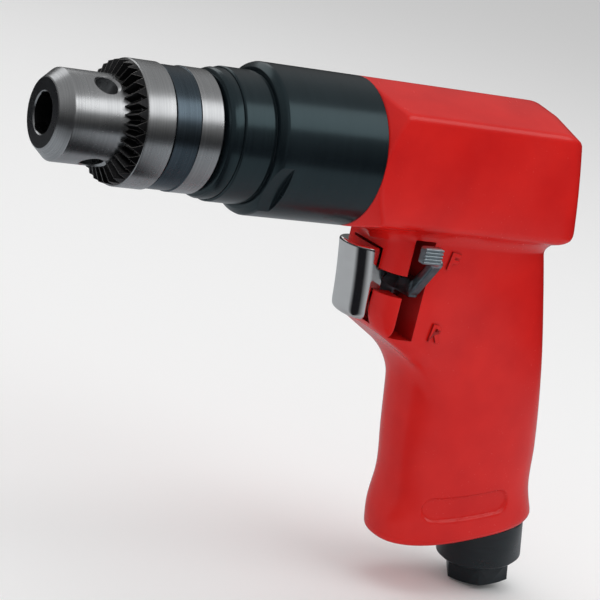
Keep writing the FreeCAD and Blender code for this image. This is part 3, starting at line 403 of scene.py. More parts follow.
def netCells(values):
    # The cells of a grid that the surface passes through, and how they join up as four-sided faces.
    inside = values < 0
    shape = np.array(values.shape) - 1
    count = np.zeros(shape, int)
    corners = [np.array((i, j, k)) for i in (0, 1) for j in (0, 1) for k in (0, 1)]
    for c in corners:
        count += inside[c[0]:c[0] + shape[0], c[1]:c[1] + shape[1], c[2]:c[2] + shape[2]]
    active = (count > 0) & (count < 8)
    number = np.full(shape, -1)
    number[active] = np.arange(active.sum())
    cells = np.argwhere(active)
    total, hits = np.zeros((len(cells), 3)), np.zeros(len(cells))
    faces = []
    for axis in range(3):
        step = np.eye(3, dtype=int)[axis]
        b, c = (axis + 1) % 3, (axis + 2) % 3
        stepB, stepC = np.eye(3, dtype=int)[b], np.eye(3, dtype=int)[c]
        for start in [p for p in corners if p[axis] == 0]:
            first, second = cells + start, cells + start + step
            v0, v1 = values[tuple(first.T)], values[tuple(second.T)]
            crossing = (v0 < 0) != (v1 < 0)
            t = np.where(crossing, v0 / np.where(v0 == v1, 1, v0 - v1), 0)
            total += np.where(crossing[:, None], start + t[:, None] * step, 0)
            hits += crossing
        here = inside[:-1] if axis == 0 else inside[:, :-1] if axis == 1 else inside[:, :, :-1]
        there = inside[1:] if axis == 0 else inside[:, 1:] if axis == 1 else inside[:, :, 1:]
        spots = np.argwhere(here != there)
        within = (spots[:, b] > 0) & (spots[:, c] > 0) & (spots[:, b] < shape[b]) & (spots[:, c] < shape[c])
        spots = spots[within]
        around = (0 * step, stepB, stepB + stepC, stepC)
        quad = np.stack([number[tuple((spots - offset).T)] for offset in around], axis=1)
        flip = ~here[tuple(spots.T)]
        quad[flip] = quad[flip][:, ::-1]
        faces.append(quad)
    return cells + total / hits[:, None], np.concatenate(faces)


def shapeFromField(name, field, low, high, pitch):
    # A closed skin where the field is zero, pulled exactly onto it.
    axes = [np.arange(low[i], high[i] + pitch, pitch) for i in range(3)]
    values = field(*np.meshgrid(*axes, indexing="ij"))
    spots, faces = netCells(values)
    points = np.array([axes[i][0] for i in range(3)]) + spots * pitch
    tiny = pitch * 0.05
    for _ in range(3):
        here = field(*points.T)
        slope = np.stack([(field(*(points + tiny * e).T) - field(*(points - tiny * e).T)) / (2 * tiny)
                          for e in np.eye(3)], axis=1)
        size = np.maximum((slope ** 2).sum(axis=1), 0.25)
        move = np.clip(here / size, -pitch * 0.4, pitch * 0.4)
        points = points - slope * move[:, None]
    return plainMesh(name, points, faces)


def roundMax(a, b, r):
    return np.minimum(np.maximum(a, b), -r) + np.hypot(np.maximum(a + r, 0), np.maximum(b + r, 0))


def roundMin(a, b, r):
    return -roundMax(-a, -b, r)


def boxField(x, y, z, low, high, r):
    sides = [np.maximum(low[0] - x, x - high[0]), np.maximum(low[1] - y, y - high[1]),
             np.maximum(low[2] - z, z - high[2])]
    outer = np.sqrt(sum(np.maximum(s + r, 0) ** 2 for s in sides)) - r
    return outer + np.minimum(np.maximum.reduce([s + r for s in sides]), 0)


def turnedMesh(name, profile, segments=160, place=None):
    # A closed outline of (x, radius) turned about the X axis.
    mesh = bmesh.new()
    rings = []
    for x, radius in profile:
        if radius < 1e-6:
            rings.append([mesh.verts.new((x * mm, 0, 0))])
            continue
        rings.append([mesh.verts.new((x * mm, radius * mm * math.cos(2 * math.pi * i / segments),
                                      radius * mm * math.sin(2 * math.pi * i / segments)))
                      for i in range(segments)])
    for first, second in zip(rings, rings[1:] + rings[:1]):
        if len(first) == 1 and len(second) == 1:
            continue
        for i in range(segments):
            j = (i + 1) % segments
            loop = [first[i % len(first)], first[j % len(first)],
                    second[j % len(second)], second[i % len(second)]]
            kept = [v for k, v in enumerate(loop) if v not in loop[:k]]
            mesh.faces.new(kept)
    bmesh.ops.recalc_face_normals(mesh, faces=mesh.faces)
    if place:
        mesh.transform(place)
    return closedOff(name, mesh)


def boxMesh(name, low, high):
    mesh = bmesh.new()
    bmesh.ops.create_cube(mesh, size=1.0)
    for v in mesh.verts:
        v.co = Vector([(low[i] if v.co[i] < 0 else high[i]) * mm for i in range(3)])
    return closedOff(name, mesh)


def rodMesh(name, start, direction, length, radius, segments=72):
    place = aimed(Vector(start), Vector(direction).normalized())
    return turnedMesh(name, [(0, 0), (0, radius), (length, radius), (length, 0)], segments, place)


def carved(mesh, cutters):
    # Takes each cutter out of the mesh in turn.
    piece = addObject("carving", mesh)
    tools = []
    for i, cutter in enumerate(cutters):
        tool = addObject("tool%d" % i, cutter)
        step = piece.modifiers.new("cut%d" % i, "BOOLEAN")
        step.operation, step.object, step.solver = "DIFFERENCE", tool, "MANIFOLD"
        tools.append(tool)
    made = bakedMesh(piece)
    for tool in tools:
        bpy.data.objects.remove(tool)
    bpy.data.objects.remove(piece)
    made.materials.clear()
    return made


# ---- housing ----

housing = {"half": 21.95, "crown": 190.0, "mouth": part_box("housing")[0].x / mm, "rear": 173.3,
           "rearRound": 10.5, "fillet": 4.2, "gripRound": 2.35, "fingerHalf": 16.4, "fingerX": 113.0,
           "fingerRound": 8.0, "chinRound": 4.5, "fingerTaper": 0.018, "taperX": 128.0,
           "panel": (162.5, -104.5), "panelSize": (30.0, 7.5), "panelTilt": 10.3, "panelDepth": 0.85,
           "base": ((141.5, -121.3), (197.3, -109.7)), "baseRound": 2.6, "pitch": 0.62,
           "inlet": (181.15, 0, -113.05), "pocketRear": 118.5, "leverX": 118.4, "airTurn": 66, "portX": 130.0,
           "exhaustX": 140.0, "exhaustTurn": 72}
gripSections = np.array([  # height, front, rear, half width
    (-10.0, 121.6, 170.0, 16.4), (-36.0, 124.5, 178.5, 16.4), (-60.0, 132.1, 185.4, 16.2),
    (-86.0, 136.7, 191.0, 16.0), (-100.0, 139.1, 192.9, 16.1), (-112.0, 138.8, 197.4, 16.9),
    (-124.0, 141.0, 199.5, 17.2)])


def eased(heights, values, z):
    # A smooth curve through the section values.
    order = np.argsort(heights)
    xs, ys = heights[order], values[order]
    slopes = np.gradient(ys, xs)
    z = np.clip(z, xs[0], xs[-1])
    i = np.clip(np.searchsorted(xs, z) - 1, 0, len(xs) - 2)
    h = xs[i + 1] - xs[i]
    t = (z - xs[i]) / h
    return ((2 * t ** 3 - 3 * t ** 2 + 1) * ys[i] + (t ** 3 - 2 * t ** 2 + t) * h * slopes[i]
            + (3 * t ** 2 - 2 * t ** 3) * ys[i + 1] + (t ** 3 - t ** 2) * h * slopes[i + 1])


def barrelField(x, y, z):
    s = housing
    u, v = np.abs(y), np.abs(z)
    crowned = np.hypot(u - s["half"] + s["crown"], z) - s["crown"]
    section = roundMax(crowned, 0.3162 * u + 0.9487 * v - 22.40, 1.6)
    section = roundMax(section, 0.1544 * u + 0.988 * v - 21.93, 1.0)
    cone = (np.hypot(y, z) - 22.0 - (x - s["mouth"])) * 0.7071
    body = roundMax(section, cone, 0.5)
    # The rear face leans with the grip.
    rear = (x - s["rear"]) * math.cos(gripRake) + z * math.sin(gripRake)
    body = roundMax(body, rear, s["rearRound"])
    return np.maximum(body, s["mouth"] - x)


def gripField(x, y, z):
    s = housing
    heights = gripSections[:, 0]
    front, rear, half = (eased(heights, gripSections[:, k], z) for k in (1, 2, 3))
    u, v = (x - (front + rear) / 2) / ((rear - front) / 2), y / half
    power = s["gripRound"]
    level = np.maximum((np.abs(u) ** power + np.abs(v) ** power) ** (1 / power), 1e-3)
    reach = np.hypot(x - (front + rear) / 2, y)
    side = (reach - reach / level) * 0.94 - 1e-6
    side = np.where(level < 0.05, -half, side)
    (x0, z0), (x1, z1) = s["base"]
    slope = math.atan2(z1 - z0, x1 - x0)
    below = -((x0 - x) * math.sin(slope) + (z - z0) * math.cos(slope))
    grip = roundMax(side, below, s["baseRound"])
    return np.maximum(grip, z + 10.0)


def fingerField(x, y, z):
    s = housing
    half = s["fingerHalf"] - s["fingerTaper"] * np.maximum(x - s["taperX"], 0) ** 2
    flank = roundMax(np.abs(y) - half, s["fingerX"] - x, s["fingerRound"])
    chin = -0.507 * (x - s["fingerX"]) - 0.862 * (z + 49.5)
    block = roundMax(flank, chin, s["chinRound"])
    return np.maximum(np.maximum(block, z + 12.0), x - 150.0)


def panelShade(x, y, z):
    # How deep the blank rounded panel sinks at each point of the grip's left side.
    s = housing
    tilt = math.radians(s["panelTilt"])
    dx, dz = x - s["panel"][0], z - s["panel"][1]
    along = dx * math.cos(tilt) + dz * math.sin(tilt)
    across = dz * math.cos(tilt) - dx * math.sin(tilt)
    halfLength, halfHeight = s["panelSize"][0] / 2, s["panelSize"][1] / 2
    away = np.hypot(np.maximum(np.abs(along) - (halfLength - halfHeight), 0), across) - halfHeight
    t = np.clip(0.5 - away / 0.7, 0, 1)
    return np.where(y < 0, s["panelDepth"] * t * t * (3 - 2 * t), 0)


def housingField(x, y, z):
    s = housing
    lower = roundMin(gripField(x, y, z), fingerField(x, y, z), 6.0)
    return roundMin(barrelField(x, y, z), lower, s["fillet"]) + panelShade(x, y, z)


def slanted(turn):
    # The direction along X, turned down by an angle in degrees.
    return math.cos(math.radians(turn)), 0, -math.sin(math.radians(turn))


def makeHousing():
    s = housing
    low, high = boxOf("housing")
    margin = Vector((2, 2, 2))
    skin = shapeFromField("housingSkin", housingField, low - margin, high + margin, s["pitch"])
    valveZ = middle("throttle_stem").z
    triggerLow, triggerHigh = boxOf("trigger")
    down = (math.sin(gripRake), 0, -math.cos(gripRake))
    ahead, mouth, front, rear, leverX = (1, 0, 0), s["mouth"], s["fingerX"] - 2, s["pocketRear"], s["leverX"]
    cutters = [
        rodMesh("skirtBore", (mouth - 1, 0, 0), ahead, 9.3, 19.75, 160),
        rodMesh("motorBore", (mouth + 5, 0, 0), ahead, 53.0, 18.02, 160),
        rodMesh("rearHollow", (mouth + 54, 0, 0), ahead, 10.0, 11.0),
        boxMesh("triggerPocket", (front, -8.1, triggerLow.z - 0.4), (rear, 8.1, triggerHigh.z + 0.4)),
        boxMesh("fingerGap", (front, -18.5, valveZ - 3.4), (rear, 0.01, valveZ + 3.4)),
        boxMesh("leverSlot", (leverX, -24.5, valveZ - 16.2), (125.2, -4.0, valveZ + 14.8)),
        rodMesh("leverHollow", (leverX, 0, valveZ), ahead, 6.8, 9.4),
        rodMesh("valveBore", (125.0, 0, valveZ), ahead, 16.3, 7.0),
        rodMesh("valveChamber", (141.0, 0, valveZ), ahead, 17.0, 5.4),
        rodMesh("airWay", (153.0, 0, valveZ - 1), slanted(s["airTurn"]), 66.0, 3.6),
        rodMesh("inletBore", Vector(s["inlet"]) - Vector(down) * 26.3, down, 40.0, 6.93),
    ]
    for side in (-1, 1):
        cutters.append(rodMesh("portDrill", (s["portX"], side * 4.2, valveZ), (0, 0, 1), 22.0, 2.2))
        start = (s["exhaustX"], side * 9.8, -16.0)
        cutters.append(rodMesh("exhaustDrill", start, slanted(s["exhaustTurn"]), 104.0, 2.6))
    made = smoothed(carved(skin, cutters), 38.0)
    made.name = "housingShell"
    # Faces set back inside the skin get painted shade: those in the motor bore the dark bore finish, deeper
    # recesses such as the slot and pockets the darker red.
    centres = np.empty(len(made.polygons) * 3)
    made.polygons.foreach_get("center", centres)
    centres = centres.reshape(-1, 3) / mm
    depth = -housingField(*centres.T)
    bore = (np.hypot(centres[:, 1], centres[:, 2]) < 20.3) & (centres[:, 2] > -20.2) & (depth > 0.3)
    print("stage: housing", len(made.polygons), "faces")
    piece = newPiece("housingShell", made, "housing", "housing",
                     [finishes["red_paint"], recessShadowPaint, boreShadowPaint])
    made.polygons.foreach_set("material_index", np.where(bore, 2, np.where(depth > 1.4, 1, 0)))
    return piece


housingShell = makeHousing()
housingTree = BVHTree.FromObject(housingShell, bpy.context.evaluated_depsgraph_get())


def shadeFaces(piece, choose):
    for face in piece.data.polygons:
        face.material_index = choose(face.center / mm, face.normal)


lettering = {"height": 5.2, "rise": 0.7, "root": 0.6, "stroke": 0.3, "lean": 8.0,
             "places": {"F": (132.4, -26.2), "R": (133.0, -49.0)}}


def makeLetter(letter, spot):
    curve = bpy.data.curves.new("letter" + letter, "FONT")
    curve.body, curve.size, curve.extrude = letter, lettering["height"] * mm * 1.4, 0.5 * mm
    curve.offset, curve.align_x, curve.align_y = lettering["stroke"] * mm, "CENTER", "CENTER"
    curve.resolution_u = 6
    holder = addObject("letterHolder", curve)
    mesh = bakedMesh(holder)
    bpy.data.objects.remove(holder)
    lean = Matrix.Rotation(math.radians(lettering["lean"]), 4, "Y")
    for v in mesh.vertices:
        flat = lean @ Vector((v.co.x, 0, v.co.y))
        x, z = spot[0] * mm + flat.x, spot[1] * mm + flat.z
        hit = housingTree.ray_cast(Vector((x, -0.05, z)), Vector((0, 1, 0)))[0]
        surface = hit.y if hit else -housing["fingerHalf"] * mm
        v.co = Vector((x, surface - (lettering["rise"] if v.co.z > 0 else -lettering["root"]) * mm, z))
    clean = bmesh.new()
    clean.from_mesh(mesh)
    bmesh.ops.remove_doubles(clean, verts=clean.verts, dist=1e-6)
    bmesh.ops.recalc_face_normals(clean, faces=clean.faces)
    clean.to_mesh(mesh)
    clean.free()
    mesh.name = "letter" + letter
    piece = newPiece("letter" + letter, smoothed(mesh), "housing", None,
                     [finishes["red_paint"], recessShadowPaint])
    # The letters' outward faces keep the red paint; their sides get the darker red as painted shade.
    shadeFaces(piece, lambda at, normal: 0 if normal.y < -0.7 else 1)
    return piece


for letter, spot in lettering["places"].items():
    makeLetter(letter, spot)
print("stage: raised letters")


# ---- trigger ----

trigger = {"half": 7.5, "wall": 1.6, "corner": 4.0, "bulge": 2.3, "top": -26.6, "bottom": -49.2,
           "rear": 113.0, "tab": (116.0, -39.5, -32.5), "dish": 2.8, "pitch": 0.28}


def triggerField(x, y, z):
    s = trigger
    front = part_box("trigger")[0].x / mm + s["dish"]
    t = (z - s["bottom"]) / (s["top"] - s["bottom"])
    face = front - s["dish"] * (0.15 * t + 0.85 * np.clip(t, 0, 1) ** 1.6)
    face = face + 0.9 * (1 - np.clip(t * 6, 0, 1)) ** 2
    face = face + s["bulge"] * (y / s["half"]) ** 2
    skin = roundMax(np.abs(y) - s["half"], face - x, s["corner"])
    skin = roundMax(roundMax(skin, z - s["top"], 0.9), s["bottom"] - z, 2.0)
    inner = roundMax(np.abs(y) - s["half"] + s["wall"], face + s["wall"] - x, s["corner"] - s["wall"])
    inner = np.maximum(inner, np.maximum(z - s["top"] + s["wall"], s["bottom"] - 3 - z))
    shell = roundMax(skin, -inner, 0.25)
    rearX, low, high = s["tab"]
    tab = roundMax(x - rearX, np.maximum(z - high, low - z), 0.6)
    rear = roundMin(x - s["rear"], tab, 0.9)
    shell = roundMax(shell, rear, 0.35)
    stemZ = middle("throttle_stem").z
    boss = roundMax(np.hypot(y, z - stemZ) - 3.2, np.maximum(x - 115.7, face + 0.5 - x), 0.3)
    hole = np.maximum(np.hypot(y, z - stemZ) - 1.98, front + 2.0 - x)
    return np.maximum(roundMin(shell, boss, 0.4), -hole)


def makeTrigger():
    low, high = boxOf("trigger")
    margin = Vector((1, 1, 1))
    mesh = shapeFromField("triggerShell", triggerField, low - margin, high + margin, trigger["pitch"])
    print("stage: trigger", len(mesh.polygons), "faces")
    return newPiece("triggerShell", smoothed(mesh, 60), "trigger", "trigger",
                    [finishes["chrome_plate"]])


makeTrigger()


# ---- reverse lever ----

lever = {"front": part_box("reverse_lever")[0].x / mm + 1.6, "thick": 3.2, "reach": 16.0, "padReach": 22.7,
         "padRise": 10.2, "ribs": 5, "ribPitch": 1.0, "ribRadius": 0.36, "padLength": 6.4, "padAhead": 4.8,
         "pitch": 0.3}


def leverField(x, y, z):
    s = lever
    valveZ = middle("throttle_stem").z
    front, thick, rise = s["front"], s["thick"], middle("throttle_stem").z + s["padRise"]
    slab = np.maximum(front - x, x - front - thick)
    hub = roundMax(np.hypot(y, z - valveZ) - 8.6, slab, 0.5)
    bar = boxField(x, y, z, (front, -s["reach"], valveZ - 2.8), (front + thick, 0.5, valveZ + 2.8), 0.5)
    a, b = np.array((-s["reach"] + 0.6, valveZ - 0.2)), np.array((-s["padReach"] - 0.6, rise))
    line = b - a
    t = np.clip(((y - a[0]) * line[0] + (z - a[1]) * line[1]) / (line @ line), 0, 1)
    arm = roundMax(np.hypot(y - a[0] - t * line[0], z - a[1] - t * line[1]) - (1.7 - 0.3 * t), slab, 0.4)
    pad = boxField(x, y, z, (front - s["padAhead"], -s["padReach"] - 2.8, rise - 0.1),
                   (front + s["padLength"] - s["padAhead"], -s["padReach"] + 0.2, rise + 5.0), 0.6)
    solid = roundMin(roundMin(hub, bar, 0.8), roundMin(arm, pad, 0.8), 0.6)
    return roundMax(solid, 2.05 - np.hypot(y, z - valveZ), 0.2)


def addSocket(tree, label, kind, default):
    socket = tree.interface.new_socket(label, in_out="INPUT", socket_type=kind)
    if default is not None:
        socket.default_value = default


def runTree(name, tree, base, values):
    # Gives the result of a tree as a plain mesh, with its inputs set by their identifiers.
    holder = addObject(name, base)
    step = holder.modifiers.new(name, "NODES")
    step.node_group = tree
    for item in tree.interface.items_tree:
        if item.in_out == "INPUT" and item.name in values:
            step[item.identifier] = values[item.name]
    mesh = bakedMesh(holder)
    bpy.data.objects.remove(holder)
    mesh.name = name
    return mesh


def startTree(name, inputs):
    tree = bpy.data.node_groups.new(name, "GeometryNodeTree")
    addSocket(tree, "Geometry", "NodeSocketGeometry", None)
    for label, kind, default in inputs:
        addSocket(tree, label, kind, default)
    tree.interface.new_socket("Geometry", in_out="OUTPUT", socket_type="NodeSocketGeometry")
    return tree, tree.nodes.new("NodeGroupInput"), tree.nodes.new("NodeGroupOutput")


def endTree(tree, leave, source, material):
    flat = put(tree, "GeometryNodeRealizeInstances", [("Geometry", source)])
    painted = put(tree, "GeometryNodeSetMaterial", [("Geometry", flat.outputs[0])])
    painted.inputs["Material"].default_value = material
    tree.links.new(painted.outputs[0], leave.inputs[0])


def roundWire(tree, path, radius, sides):
    profile = put(tree, "GeometryNodeCurvePrimitiveCircle", [("Resolution", sides), ("Radius", radius)])
    links = [(0, path.outputs[0]), (1, profile.outputs[0]), ("Fill Caps", True)]
    return put(tree, "GeometryNodeCurveToMesh", links).outputs[0]


def ribTree():
    # Rounded ribs in a row, added to the pad they stand on.
    tree, enter, leave = startTree("thumbRibs", [
        ("Ribs", "NodeSocketInt", 5), ("Pitch", "NodeSocketFloat", 0.0013),
        ("Radius", "NodeSocketFloat", 0.0005),
        ("First", "NodeSocketVector", None), ("Length", "NodeSocketVector", None)])
    pitch = put(tree, "ShaderNodeCombineXYZ", [("Z", enter.outputs["Pitch"])])
    row = put(tree, "GeometryNodeMeshLine", [("Count", enter.outputs["Ribs"]),
                                             ("Start Location", enter.outputs["First"]),
                                             ("Offset", pitch.outputs[0])])
    path = put(tree, "GeometryNodeCurvePrimitiveLine", [("End", enter.outputs["Length"])])
    rib = roundWire(tree, path, enter.outputs["Radius"], 14)
    ribs = put(tree, "GeometryNodeInstanceOnPoints", [("Points", row.outputs[0]), ("Instance", rib)])
    both = put(tree, "GeometryNodeJoinGeometry")
    tree.links.new(enter.outputs["Geometry"], both.inputs[0])
    tree.links.new(ribs.outputs[0], both.inputs[0])
    endTree(tree, leave, both.outputs[0], finishes["zinc_plate"])
    return tree


def makeLever():
    s = lever
    low, high = boxOf("reverse_lever")
    base = shapeFromField("leverBase", leverField, low - Vector((5, 1, 1)), high + Vector((1, 1, 1)),
                          s["pitch"])
    rise = middle("throttle_stem").z + s["padRise"]
    mesh = runTree("leverRibbed", ribTree(), base, {
        "Ribs": s["ribs"], "Pitch": s["ribPitch"] * mm, "Radius": s["ribRadius"] * mm,
        "First": ((s["front"] - s["padAhead"] + 0.1) * mm, (-s["padReach"] - 2.8) * mm, (rise + 0.45) * mm),
        "Length": ((s["padLength"] - 0.2) * mm, 0.0, 0.0)})
    mesh.materials.clear()
    print("stage: reverse lever", len(mesh.polygons), "faces")
    piece = newPiece("leverRibbed", smoothed(mesh, 40), "reverse_lever", "reverse_lever",
                     [finishes["zinc_plate"], leverArmShadowPaint])
    # The thumb pad keeps the zinc plate; the arm and hub get its darker copy as painted shade.
    shadeFaces(piece, lambda at, normal: 0 if at.y < -s["padReach"] - 0.4 and at.z > rise - 1.2 else 1)
    return piece


makeLever()


# ---- valve spring ----

def springTree():
    # A closed coil of round wire along X.
    tree, enter, leave = startTree("coilSpring", [
        ("Turns", "NodeSocketFloat", 6.0), ("Radius", "NodeSocketFloat", 0.0035),
        ("Length", "NodeSocketFloat", 0.01), ("Wire", "NodeSocketFloat", 0.00045),
        ("Start", "NodeSocketVector", None)])
    coil = put(tree, "GeometryNodeCurveSpiral", [
        ("Resolution", 36), ("Rotations", enter.outputs["Turns"]), ("Start Radius", enter.outputs["Radius"]),
        ("End Radius", enter.outputs["Radius"]), ("Height", enter.outputs["Length"])])
    wire = roundWire(tree, coil, enter.outputs["Wire"], 12)
    placed = put(tree, "GeometryNodeTransform", [("Geometry", wire),
                                                 ("Translation", enter.outputs["Start"]),
                                                 ("Rotation", (0.0, math.pi / 2, 0.0))])
    endTree(tree, leave, placed.outputs[0], finishes["bright_steel"])
    return tree


def makeSpring():
    low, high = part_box("valve_spring")
    wire = 0.45 * mm
    mesh = runTree("valveCoil", springTree(), bpy.data.meshes.new("coilBase"), {
        "Turns": 6.0, "Radius": 3.5 * mm, "Length": high.x - low.x - 2 * wire, "Wire": wire,
        "Start": (low.x + wire, 0.0, (low.z + high.z) / 2)})
    print("stage: valve spring", len(mesh.polygons), "faces")
    return newPiece("valveCoil", smoothed(mesh, 60), "housing", "valve_spring")


makeSpring()


# ---- chuck, gear case and fittings, from their machined shapes ----

def machined(node, body):
    work = bmesh.new()
    work.from_mesh(frame["nodes"][node].data)
    bmesh.ops.remove_doubles(work, verts=work.verts, dist=1.5e-6)
    mesh = closedOff(node + "Finished", work)
    mesh.materials.clear()
    slot = nodeSlot[node]
    return newPiece(node + "Finished", smoothed(mesh, 28.0), body, node, [finishes[slot]])


chuck = {"bandFront": 31.85, "bandRear": 39.35, "mouth": 6.4, "toothRear": 22.75, "jawLean": 15.5,
         "jawReach": 5.6, "jawX": 10.5, "channelX": -1.5, "channel": 2.67, "keyX": 14.2, "keyFloor": 7.4,
         "keyRadius": 3.25, "easeStart": 11.85, "easeOutline": [(0, 0), (0, 3.0), (1.6, 4.6), (1.6, 0)]}


def chuckShade(centre, normal):
    radius = math.hypot(centre.y, centre.z)
    # Faces inside the mouth get the dark bore finish as painted shade; the rear band is blued.
    if radius < chuck["mouth"] and centre.x < 60 and abs(normal.x) < 0.6:
        return 2
    return 1 if chuck["bandFront"] < centre.x < chuck["bandRear"] and radius > 16 else 0


def sleeveShade(centre, _):
    return 1 if centre.x < chuck["toothRear"] else 0


jawTurns, keyTurns = (-30.0, 90.0, 210.0), (29.0, 149.0, 269.0)


def outward(turn, lean=0.0):
    # The direction away from the spindle at a turn about it, leaning back along X.
    a, b = math.radians(turn), math.radians(lean)
    return Vector((math.sin(b), -math.sin(a) * math.cos(b), math.cos(a) * math.cos(b)))


def makeChuckBody():
    s = chuck
    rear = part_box("chuck_body")[1].x / mm
    outline = [(0.35, 5.75), (0, 6.1), (0, 9.6), (0.2, 9.95), (3.5, 12.75), (3.8, 12.81), (21.2, 12.81),
               (21.2, 10.6), (27.4, 10.6), (27.4, 16.1), (31.9, 16.1), (31.9, 17.2), (32.0, 17.3),
               (39.2, 17.3), (39.3, 17.4), (39.4, 17.6), (rear - 0.6, 17.6), (rear, 17.0), (rear, 4.79),
               (32.6, 4.79), (32.6, 2.2), (28.0, 2.2), (28.0, 6.25), (8.0, 6.25), (8.0, 5.75)]
    cutters = []
    mouthReach = s["jawReach"] - s["jawX"] * math.tan(math.radians(s["jawLean"]))
    for turn in jawTurns:
        start = outward(turn) * mouthReach + Vector((s["channelX"], 0, 0))
        cutters.append(rodMesh("jawChannel", start, outward(turn, 90 - s["jawLean"]), 45.0, s["channel"]))
    for turn in keyTurns:
        out, centre = outward(turn), Vector((s["keyX"], 0, 0))
        cutters.append(rodMesh("keyHole", centre + out * s["keyFloor"], out, 9.0, s["keyRadius"]))
        ease = aimed(centre + out * s["easeStart"], out)
        cutters.append(turnedMesh("keyEase", s["easeOutline"], 72, ease))
    mesh = smoothed(carved(turnedMesh("chuckTurned", outline, 192), cutters), 14.0)
    mesh.name = "chuckBody"
    piece = newPiece("chuckBody", mesh, "spindle", "chuck_body",
                     [finishes["ground_steel"], bluedBand, boreShadowPaint])
    shadeFaces(piece, chuckShade)
    return piece


def grooveTree():
    # V grooves in a ring about X: one wedge copied round the axis.
    tree, enter, leave = startTree("toothGrooves", [
        ("Teeth", "NodeSocketInt", 34), ("First Turn", "NodeSocketFloat", 0.0),
        ("Wedge", "NodeSocketObject", None)])
    ring = put(tree, "GeometryNodeMeshLine", [("Count", enter.outputs["Teeth"]), ("Offset", (0.0, 0.0, 0.0))])
    number = put(tree, "GeometryNodeInputIndex")
    step = mathNode(tree, "DIVIDE", 2 * math.pi, enter.outputs["Teeth"])
    angle = mathNode(tree, "MULTIPLY", number.outputs[0], step)
    angle = mathNode(tree, "ADD", angle, enter.outputs["First Turn"])
    turn = put(tree, "ShaderNodeCombineXYZ", [("X", angle)])
    wedge = put(tree, "GeometryNodeObjectInfo", [("Object", enter.outputs["Wedge"])])
    copies = put(tree, "GeometryNodeInstanceOnPoints", [
        ("Points", ring.outputs[0]), ("Instance", wedge.outputs["Geometry"]), ("Rotation", turn.outputs[0])])
    endTree(tree, leave, copies.outputs[0], toothOxide)
    return tree


sleeve = {"teeth": 34, "inner": (18.2, 13.0), "outer": (19.9, 16.9), "depth": 2.1, "share": 0.95,
          "overrun": (1.6, 3.4), "above": 0.8, "topWidth": 1.35, "floorWidth": 0.06}


def makeSleeve():
    s = sleeve
    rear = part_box("chuck_sleeve")[1].x / mm
    outline = [(18.2, 12.86), s["inner"], s["outer"], (22.7, 17.5), (22.9, 17.72), (23.1, 17.75),
               (rear - 0.5, 17.75), (rear, 17.25), (rear, 16.23), (21.4, 16.23), (21.4, 12.86)]
    inner, outer = Vector((s["inner"][0], 0, s["inner"][1])), Vector((s["outer"][0], 0, s["outer"][1]))
    along = (outer - inner).normalized()
    out = Vector((-along.z, 0, along.x))
    wedge = bmesh.new()
    ends = []
    side, topWidth, floorWidth = Vector((0, 1, 0)), s["topWidth"], s["floorWidth"]
    for point in (inner - along * s["overrun"][0], outer + along * s["overrun"][1]):
        half = math.pi * point.z / s["teeth"] * s["share"]
        top, floor = point + out * s["above"], point - out * s["depth"] * point.z / outer.z
        ends.append([wedge.verts.new(p * mm) for p in (
            top + side * half * topWidth, floor + side * half * floorWidth,
            floor - side * half * floorWidth, top - side * half * topWidth)])
    wedge.faces.new(ends[0])
    wedge.faces.new(ends[1][::-1])
    for k in range(4):
        wedge.faces.new((ends[0][k], ends[1][k], ends[1][(k + 1) % 4], ends[0][(k + 1) % 4]))
    bmesh.ops.recalc_face_normals(wedge, faces=wedge.faces)
    holder = addObject("wedge", closedOff("wedge", wedge))
    tree = grooveTree()
    cuts = []
    for first in (0, 1):
        # Neighbours would touch, so every second groove is cut at a time.
        cuts.append(runTree("grooves%d" % first, tree, bpy.data.meshes.new("grooveBase"), {
            "Teeth": s["teeth"] // 2, "First Turn": first * 2 * math.pi / s["teeth"], "Wedge": holder}))
    bpy.data.objects.remove(holder)
    mesh = smoothed(carved(turnedMesh("sleeveTurned", outline, 204), cuts), 16.0)
    mesh.name = "toothedSleeve"
    piece = newPiece("toothedSleeve", mesh, "sleeve", "chuck_sleeve",
                     [finishes["ground_steel"], toothOxide])
    shadeFaces(piece, sleeveShade)
    print("stage: sleeve", len(mesh.polygons), "faces")
    return piece


def makeCase():
    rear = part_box("gear_case")[1].x / mm
    outline = [(52.22, 15.5), (52.22, 18.6), (52.35, 18.85), (52.65, 19.1), (61.5, 19.1), (61.7, 18.9),
               (61.7, 18.6), (62.6, 18.6), (62.6, 19.6), (62.75, 20.1), (63.4, 21.0), (64.1, 21.65),
               (64.8, 21.9), (97.55, 21.9), (97.6, 21.85), (97.6, 19.7), (rear, 19.7), (rear, 18.0),
               (78.4, 18.0), (78.4, 16.4), (74.3, 16.4), (74.3, 14.0), (66.8, 14.0), (66.8, 12.0),
               (63.2, 12.0), (63.2, 14.0), (54.8, 14.0), (54.8, 15.5)]
    cutters = []
    for turn in (-60.0, 120.0):
        flat = boxMesh("flat", (62.1, -20, 20.15), (68.2, 20, 30))
        flat.transform(Matrix.Rotation(math.radians(turn), 4, "X"))
        cutters.append(flat)
    mesh = smoothed(carved(turnedMesh("caseTurned", outline, 224), cutters), 18.0)
    mesh.name = "gearCase"
    piece = newPiece("gearCase", mesh, "housing", "gear_case", [finishes["black_case"]])
    cap = [(47.7, 9.0), (47.7, 16.6), (47.85, 17.1), (48.3, 18.0), (48.9, 18.3), (49.5, 18.5),
           (52.05, 18.5), (52.2, 18.35), (52.2, 15.4), (54.7, 15.4), (54.7, 9.6), (52.6, 9.6),
           (52.6, 11.2), (49.9, 11.2), (49.9, 9.0)]
    front = smoothed(turnedMesh("frontCap", cap, 192), 20.0)
    newPiece("frontCap", front, "housing", "front_cap", [finishes["black_case"]])
    return piece


makeChuckBody()
makeSleeve()
makeCase()
for i in (1, 2, 3):
    machined("jaw_%d" % i, "jaw_%d" % i)
machined("inlet_bushing", "housing")
machined("exhaust_deflector", "deflector")
print("stage: machined pieces")


# ---- muffler felt ----

